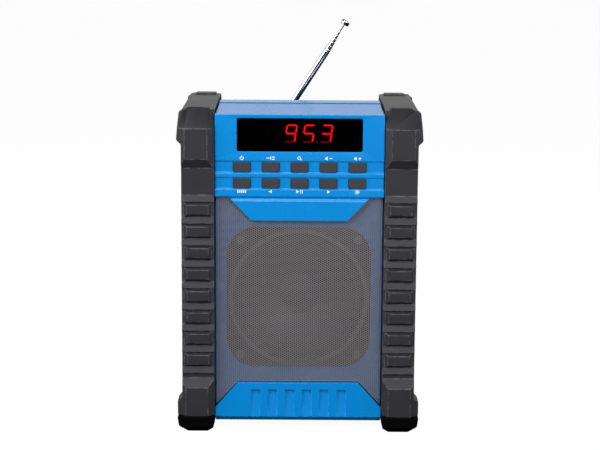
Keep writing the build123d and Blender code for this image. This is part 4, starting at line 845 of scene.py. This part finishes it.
def bar(x, z, wide, tall):
    """A rectangle about a middle."""
    return [(x - wide / 2, z - tall / 2), (x + wide / 2, z - tall / 2),
            (x + wide / 2, z + tall / 2), (x - wide / 2, z + tall / 2)]


def disc(x, z, radius, steps=20):
    """A filled circle."""
    return [(x + radius * math.cos(2 * math.pi * k / steps), z + radius * math.sin(2 * math.pi * k / steps))
            for k in range(steps)]


def tip_right(x, z, wide, tall):
    """A triangle that points right, or left where wide is negative."""
    return [(x - wide / 2, z - tall / 2), (x + wide / 2, z), (x - wide / 2, z + tall / 2)]


def speaker_mark(x):
    """A small loudspeaker horn."""
    horn = ((-0.55, -0.25), (-0.3, -0.25), (0.1, -0.5), (0.1, 0.5), (-0.3, 0.25), (-0.55, 0.25))
    return [[(x + dx, z) for dx, z in horn]]


def symbols():
    """The printed symbol of each button, in heights of the symbol about its middle."""
    ring_power = [arc((0, 0), 0.42, 130, 410, 0.19), bar(0, 0.32, 0.2, 0.46)]
    bands = [bar(x, z, 0.7, 0.24) for x, z in ((-0.7, 0.0), (0.7, 0.3), (0.7, -0.3))] + [bar(0.0, 0.0, 0.24, 0.84)]
    handle = [(0.05, -0.25), (0.2, -0.1), (0.6, -0.42), (0.45, -0.57)]
    seek = [arc((-0.15, 0.08), 0.34, 0, 360, 0.2, 28), handle]
    minus = speaker_mark(-0.35) + [bar(0.6, 0.0, 0.7, 0.22)]
    plus = minus + [bar(0.6, 0.24, 0.22, 0.26), bar(0.6, -0.24, 0.22, 0.26)]
    store = [bar(x, 0.0, 0.3, 0.8) for x in (-1.0, -0.5, 0.0, 0.5, 1.0)]
    rays = []
    for k in range(8):
        a = math.radians(45 * k)
        along, across = (math.cos(a), math.sin(a)), (-math.sin(a), math.cos(a))
        rays.append([
            (along[0] * r + across[0] * w, along[1] * r + across[1] * w)
            for r, w in ((0.4, -0.09), (0.66, -0.09), (0.66, 0.09), (0.4, 0.09))
        ])
    return {
        "power": ring_power, "mode": bands, "scan": seek, "volume_down": minus, "volume_up": plus,
        "preset": store, "previous": [tip_right(-0.1, 0, -0.8, 0.95)],
        "play": [tip_right(-0.45, 0, 0.8, 0.95), bar(0.35, 0, 0.2, 0.9), bar(0.75, 0, 0.2, 0.9)],
        "next": [tip_right(0.1, 0, 0.8, 0.95)], "dimmer": [disc(0, 0, 0.28)] + rays,
    }


UPPER_ROW = ("power", "mode", "scan", "volume_down", "volume_up")
UPPER_RISE, LOWER_RISE = 7.5 * MM, -6.6 * MM


class RADIO_OT_legends(bpy.types.Operator):
    """Prints a plain symbol beside each button"""

    bl_idname = "radio.legends"
    bl_label = "Symbols"

    def execute(self, context):
        height = sizes().legend_height
        ink = finish("legend_ink", colours().legend, 0.5, grain=0.05, patch=0.03)
        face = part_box("front_cabinet")[0].y
        bm = bmesh.new()
        for name, shapes in symbols().items():
            low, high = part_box(f"button_{name}")
            middle_x = (low.x + high.x) / 2
            middle_z = (low.z + high.z) / 2 + (UPPER_RISE if name in UPPER_ROW else LOWER_RISE)
            for shape in shapes:
                placed = [(middle_x + x * height, middle_z + z * height) for x, z in shape]
                prism(bm, placed, face - 0.04 * MM, face + 0.05 * MM)
        piece_from(bm, "button_symbols", ink, BODY["front_cabinet"])
        return {"FINISHED"}


# ------------------------------------------------------------------ loudspeaker
class RADIO_OT_loudspeaker(bpy.types.Operator):
    """Dresses the loudspeaker behind the grille"""

    bl_idname = "radio.loudspeaker"
    bl_label = "Loudspeaker"

    def execute(self, context):
        cone = finish("cone_pulp", (0.022, 0.0215, 0.022), 0.34, grain=0.3, grain_scale=900.0, patch=0.2)
        for node in ("speaker_cone", "dust_cap"):
            rounded_copy(node, cone, 0.0)
        rounded_copy("speaker_surround", finish("surround_foam", (0.012, 0.012, 0.0125), 0.42), 0.0)
        rounded_copy("speaker_gasket", finish("gasket_card", (0.09, 0.09, 0.095), 0.45), 0.4 * MM)
        rounded_copy("speaker_basket", finish("basket_paint", (0.016, 0.016, 0.017), 0.35), 0.4 * MM)
        dress("speaker_screws", black_steel())
        dress("speaker_top_plate", zinc())
        dress("speaker_yoke", zinc())
        dress("speaker_magnet", finish("ferrite", (0.03, 0.03, 0.033), 0.55, grain=0.3, grain_scale=700.0))
        dress("speaker_spider", finish("spider_cloth", (0.45, 0.26, 0.09), 0.75, grain=0.5, grain_scale=1500.0))
        dress("voice_coil", metal("coil_copper", (0.72, 0.30, 0.14), 0.3))
        return {"FINISHED"}


# ------------------------------------------------------------------ antenna
class RADIO_OT_antenna(bpy.types.Operator):
    """Turns the chromed tubes of the telescopic antenna and dresses its base"""

    bl_idname = "radio.antenna"
    bl_label = "Antenna"

    def execute(self, context):
        pivot = Vector(JOINTS["antenna_tilt"]["pos_m"])
        axis = Vector(JOINTS["antenna_pull_1"]["axis"]).normalized()
        plate = chrome()
        tube_wall = 0.3 * MM

        def reach(node):
            """Least and greatest distance of a node's vertices along the antenna, and its radius."""
            spots = [v.co - pivot for v in frame["nodes"][node].data.vertices]
            along = [s.dot(axis) for s in spots]
            out = [(s - axis * s.dot(axis)).length for s in spots if s.dot(axis) > 0.03]
            return min(along), max(along), max(out)

        _, arm_end, arm_radius = reach("antenna_arm")
        bm = bmesh.new()
        bm.from_mesh(frame["nodes"]["antenna_arm"].data)
        bmesh.ops.remove_doubles(bm, verts=bm.verts, dist=WELD)
        whole = bm.verts[:] + bm.edges[:] + bm.faces[:]
        cut = pivot + axis * 4.9 * MM
        bmesh.ops.bisect_plane(bm, geom=whole, plane_co=cut, plane_no=axis, clear_outer=True, dist=1e-7)
        bmesh.ops.holes_fill(bm, edges=[edge for edge in bm.edges if len(edge.link_faces) == 1])
        bore = arm_radius - tube_wall
        turned(bm, [
            (0, 4.6 * MM), (arm_radius - 0.5 * MM, 4.6 * MM), (arm_radius, 5.1 * MM),
            (arm_radius, arm_end - 2.6 * MM), (arm_radius - 0.12 * MM, arm_end - 2.2 * MM),
            (arm_radius - 0.12 * MM, arm_end - 1.6 * MM), (arm_radius, arm_end - 1.2 * MM),
            (arm_radius, arm_end - 0.3 * MM), (arm_radius - 0.12 * MM, arm_end), (bore, arm_end),
            (bore, 6.5 * MM), (0, 6.5 * MM),
        ], pivot, axis)
        arm = piece_from(bm, "antenna_arm_tube", plate, BODY["antenna_arm"])
        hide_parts("antenna_arm")
        for k in range(2, 7):
            node = f"antenna_section_{k}"
            start, end, radius = reach(node)
            bore = radius - tube_wall
            bm = bmesh.new()
            turned(bm, [
                (bore, start), (radius, start), (radius, end - 1.3 * MM), (radius - 0.08 * MM, end - 1.0 * MM),
                (radius, end - 0.7 * MM), (radius, end - 0.15 * MM), (radius - 0.1 * MM, end), (bore, end),
                (bore, start),
            ], pivot, axis, 40)
            bmesh.ops.remove_doubles(bm, verts=bm.verts, dist=WELD)
            tube = piece_from(bm, f"antenna_tube_{k}", plate, BODY[node])
            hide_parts(node)
        start, end, radius = reach("antenna_rod")
        bm = bmesh.new()
        turned(bm, [(0, start), (radius, start), (radius, end), (0, end)], pivot, axis, 32)
        rod = piece_from(bm, "antenna_inner_rod", plate, BODY["antenna_rod"])
        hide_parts("antenna_rod")
        start, end, radius = reach("antenna_tip")
        bm = bmesh.new()
        turned(bm, [
            (0, start), (radius - 0.9 * MM, start), (radius - 0.35 * MM, start + 0.15 * MM),
            (radius, start + 0.7 * MM), (radius, end - 1.1 * MM), (radius - 0.35 * MM, end - 0.45 * MM),
            (radius - 1.2 * MM, end - 0.08 * MM), (0, end),
        ], pivot, axis)
        tip = piece_from(bm, "antenna_tip_cap", plate, BODY["antenna_tip"], 60.0)
        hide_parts("antenna_tip")
        rounded_copy("antenna_swivel", plate, 0.3 * MM)
        rounded_copy("antenna_socket", rear_plastic(), 0.4 * MM)
        dress("antenna_pin", plate)
        dress("antenna_nut", zinc())
        return {"FINISHED"}


# ------------------------------------------------------------------ insides and fasteners
class RADIO_OT_insides(bpy.types.Operator):
    """Dresses the batteries, boards, sockets and screws"""

    bl_idname = "radio.insides"
    bl_label = "Insides and Screws"

    def execute(self, context):
        board = finish("circuit_board", (0.012, 0.11, 0.035), 0.35, grain=0.25, grain_scale=500.0, patch=0.12)
        for node in ("control_board", "main_board"):
            dress(node, board)
        rounded_copy("battery_tray", rear_plastic(), 0.3 * MM)
        rounded_copy("battery_cells", finish("cell_jacket", (0.05, 0.055, 0.07), 0.25, grain=0.05), 0.3 * MM)
        dress("battery_contacts", metal("contact_nickel", (0.62, 0.60, 0.56), 0.2))
        socket_black = finish("socket_black", (0.012, 0.012, 0.012), 0.35, grain=0.1)
        rounded_copy("aux_jack", socket_black, 0.25 * MM)
        rounded_copy("dc_jack", socket_black, 0.25 * MM)
        dress("heat_sink", metal("bare_aluminium", (0.72, 0.73, 0.75), 0.35, scale=400.0))
        dress("capacitors", finish("capacitor_sleeve", (0.01, 0.014, 0.05), 0.25, grain=0.05))
        for node in ("guard_screws", "case_screws", "board_screws"):
            dress(node, black_steel())
        return {"FINISHED"}


# ------------------------------------------------------------------ stage
SOFTBOXES = {
    "key": ((-0.387, -1.064, 1.124), 1.1, 0.85),
    "fill": ((0.60, -1.285, 0.63), 0.9, 0.6),
    "left": ((-1.071, -0.618, 0.542), 1.2, 0.8),
    "right": ((1.26, -0.222, 0.366), 0.6, 0.9),
}
CAMERA_PLACE = (0.00008, -1.39705, 0.42536)
CAMERA_YAW, CAMERA_PITCH, CAMERA_ROLL = 0.024, 10.677, 0.385


def softbox(name, place, target, wide, tall, watts):
    """A rectangular area light that faces a point."""
    light = bpy.data.lights.new(name, "AREA")
    light.shape = "RECTANGLE"
    light.size = wide
    light.size_y = tall
    light.energy = watts
    lamp = bpy.data.objects.new(name, light)
    bpy.context.scene.collection.objects.link(lamp)
    lamp.location = place
    lamp.visible_camera = False
    lamp.rotation_euler = (Vector(target) - Vector(place)).to_track_quat("-Z", "Y").to_euler()


def studio_paper():
    """White studio paper: bright to the camera with a soft shadow, and dark in what it throws back."""
    material = finish("studio_paper", colours().floor, 0.8, grain=0.05, patch=0.01)
    tree = material.node_tree
    glow = add_node(tree, "ShaderNodeEmission", Color=(1.0, 1.0, 1.0, 1.0), Strength=1.17)
    unlit = add_node(tree, "ShaderNodeBsdfDiffuse", Color=(0.10, 0.10, 0.10, 1.0))
    rays = tree.nodes.new("ShaderNodeLightPath")
    seen = tree.nodes.new("ShaderNodeMixShader")
    seen.inputs[0].default_value = 0.8
    mix = tree.nodes.new("ShaderNodeMixShader")
    tree.links.new(tree.nodes["Principled BSDF"].outputs[0], seen.inputs[1])
    tree.links.new(glow.outputs[0], seen.inputs[2])
    tree.links.new(rays.outputs["Is Camera Ray"], mix.inputs[0])
    tree.links.new(unlit.outputs[0], mix.inputs[1])
    tree.links.new(seen.outputs[0], mix.inputs[2])
    tree.links.new(mix.outputs[0], tree.nodes["Material Output"].inputs["Surface"])
    return material


def ramped(tree, socket, low, high):
    """A mask that rises from 0 to 1 while a value goes from low to high."""
    new = tree.nodes.new("ShaderNodeMapRange")
    new.inputs["From Min"].default_value = low
    new.inputs["From Max"].default_value = high
    tree.links.new(socket, new.inputs["Value"])
    return new.outputs["Result"]


def studio_world(look):
    """A studio with a bright wall behind the radio, dim around it and dark below, and white to the camera."""
    world = bpy.data.worlds.new("studio_world")
    world.use_nodes = True
    tree = world.node_tree
    spot = tree.nodes.new("ShaderNodeTexCoord")
    split = tree.nodes.new("ShaderNodeSeparateXYZ")
    tree.links.new(spot.outputs["Generated"], split.inputs[0])
    behind = ramped(tree, split.outputs[1], -0.05, 0.45)
    below_top = ramped(tree, split.outputs[2], 0.62, 0.42)
    over_foot = ramped(tree, split.outputs[2], 0.0, 0.1)
    wall = math_node(tree, "MULTIPLY", behind, math_node(tree, "MULTIPLY", below_top, over_foot))
    above = ramped(tree, split.outputs[2], -0.25, 0.0)
    level = math_node(tree, "MULTIPLY_ADD", wall, look.backdrop - look.front, look.front)
    room = tree.nodes["Background"]
    tree.links.new(math_node(tree, "MULTIPLY", level, above), room.inputs["Strength"])
    white = tree.nodes.new("ShaderNodeBackground")
    rays = tree.nodes.new("ShaderNodeLightPath")
    mix = tree.nodes.new("ShaderNodeMixShader")
    for background in (room, white):
        background.inputs["Color"].default_value = (1.0, 1.0, 1.0, 1.0)
    tree.links.new(rays.outputs["Is Camera Ray"], mix.inputs[0])
    tree.links.new(room.outputs[0], mix.inputs[1])
    tree.links.new(white.outputs[0], mix.inputs[2])
    tree.links.new(mix.outputs[0], tree.nodes["World Output"].inputs["Surface"])
    return world


class RADIO_OT_stage(bpy.types.Operator):
    """Sets the pale floor, the soft studio light and the camera"""

    bl_idname = "radio.stage"
    bl_label = "Stage"

    def execute(self, context):
        scene = context.scene
        look = scene.radio_stage
        bm = bmesh.new()
        bmesh.ops.create_grid(bm, x_segments=8, y_segments=8, size=30.0)
        mesh = bpy.data.meshes.new("studio_floor")
        bm.to_mesh(mesh)
        bm.free()
        floor = bpy.data.objects.new("studio_floor", mesh)
        scene.collection.objects.link(floor)
        floor.location.z = CAD_BOX[0][2]
        mesh.materials.append(studio_paper())
        floor.visible_glossy = False

        scene.world = studio_world(look)
        middle = (0.0, 0.0, 0.14)
        for name, (place, wide, tall) in SOFTBOXES.items():
            softbox(name + "_softbox", place, middle, wide, tall, getattr(look, name + "_power"))

        camera_data = bpy.data.cameras.new("camera")
        camera_data.lens = look.lens
        camera_data.sensor_width = 36.0
        camera = bpy.data.objects.new("camera", camera_data)
        scene.collection.objects.link(camera)
        yaw, pitch, roll = (math.radians(angle) for angle in (CAMERA_YAW, CAMERA_PITCH, CAMERA_ROLL))
        ahead = Vector((math.sin(yaw) * math.cos(pitch), math.cos(yaw) * math.cos(pitch), -math.sin(pitch)))
        right = Vector((math.cos(yaw), -math.sin(yaw), 0.0))
        above = right.cross(ahead)
        side = math.cos(roll) * right + math.sin(roll) * above
        top = -math.sin(roll) * right + math.cos(roll) * above
        turn = Matrix((side, top, -ahead)).transposed().to_4x4()
        camera.matrix_world = Matrix.Translation(CAMERA_PLACE) @ turn
        scene.camera = camera
        scene.view_settings.view_transform = "Standard"
        return {"FINISHED"}


# ------------------------------------------------------------------ add-on
class RADIO_PT_sidebar(bpy.types.Panel):
    """Lists the radio's pieces, sizes and colours"""

    bl_idname = "RADIO_PT_sidebar"
    bl_label = "Jobsite Radio"
    bl_space_type = "VIEW_3D"
    bl_region_type = "UI"
    bl_category = "Radio"

    def draw(self, context):
        layout = self.layout
        for operator in OPERATORS:
            layout.operator(operator.bl_idname)
        for group in (context.scene.radio_colours, context.scene.radio_sizes, context.scene.radio_stage):
            box = layout.box()
            for name in group.bl_rna.properties.keys():
                if name not in ("rna_type", "name"):
                    box.prop(group, name)


OPERATORS = (
    RADIO_OT_stage, RADIO_OT_cabinet, RADIO_OT_guards, RADIO_OT_grille, RADIO_OT_display, RADIO_OT_buttons,
    RADIO_OT_legends, RADIO_OT_loudspeaker, RADIO_OT_antenna, RADIO_OT_insides,
)
CLASSES = (RadioColours, RadioSizes, RadioStage, *OPERATORS, RADIO_PT_sidebar)


def register():
    """Registers the add-on's classes and scene properties."""
    for cls in CLASSES:
        bpy.utils.register_class(cls)
    bpy.types.Scene.radio_colours = PointerProperty(type=RadioColours)
    bpy.types.Scene.radio_sizes = PointerProperty(type=RadioSizes)
    bpy.types.Scene.radio_stage = PointerProperty(type=RadioStage)


def unregister():
    """Removes them again."""
    del bpy.types.Scene.radio_stage
    del bpy.types.Scene.radio_sizes
    del bpy.types.Scene.radio_colours
    for cls in reversed(CLASSES):
        bpy.utils.unregister_class(cls)


def main():
    """Runs every operator in order."""
    register()
    for operator in OPERATORS:
        family, name = operator.bl_idname.split(".")
        getattr(getattr(bpy.ops, family), name)()


if __name__ == "__main__":
    main()
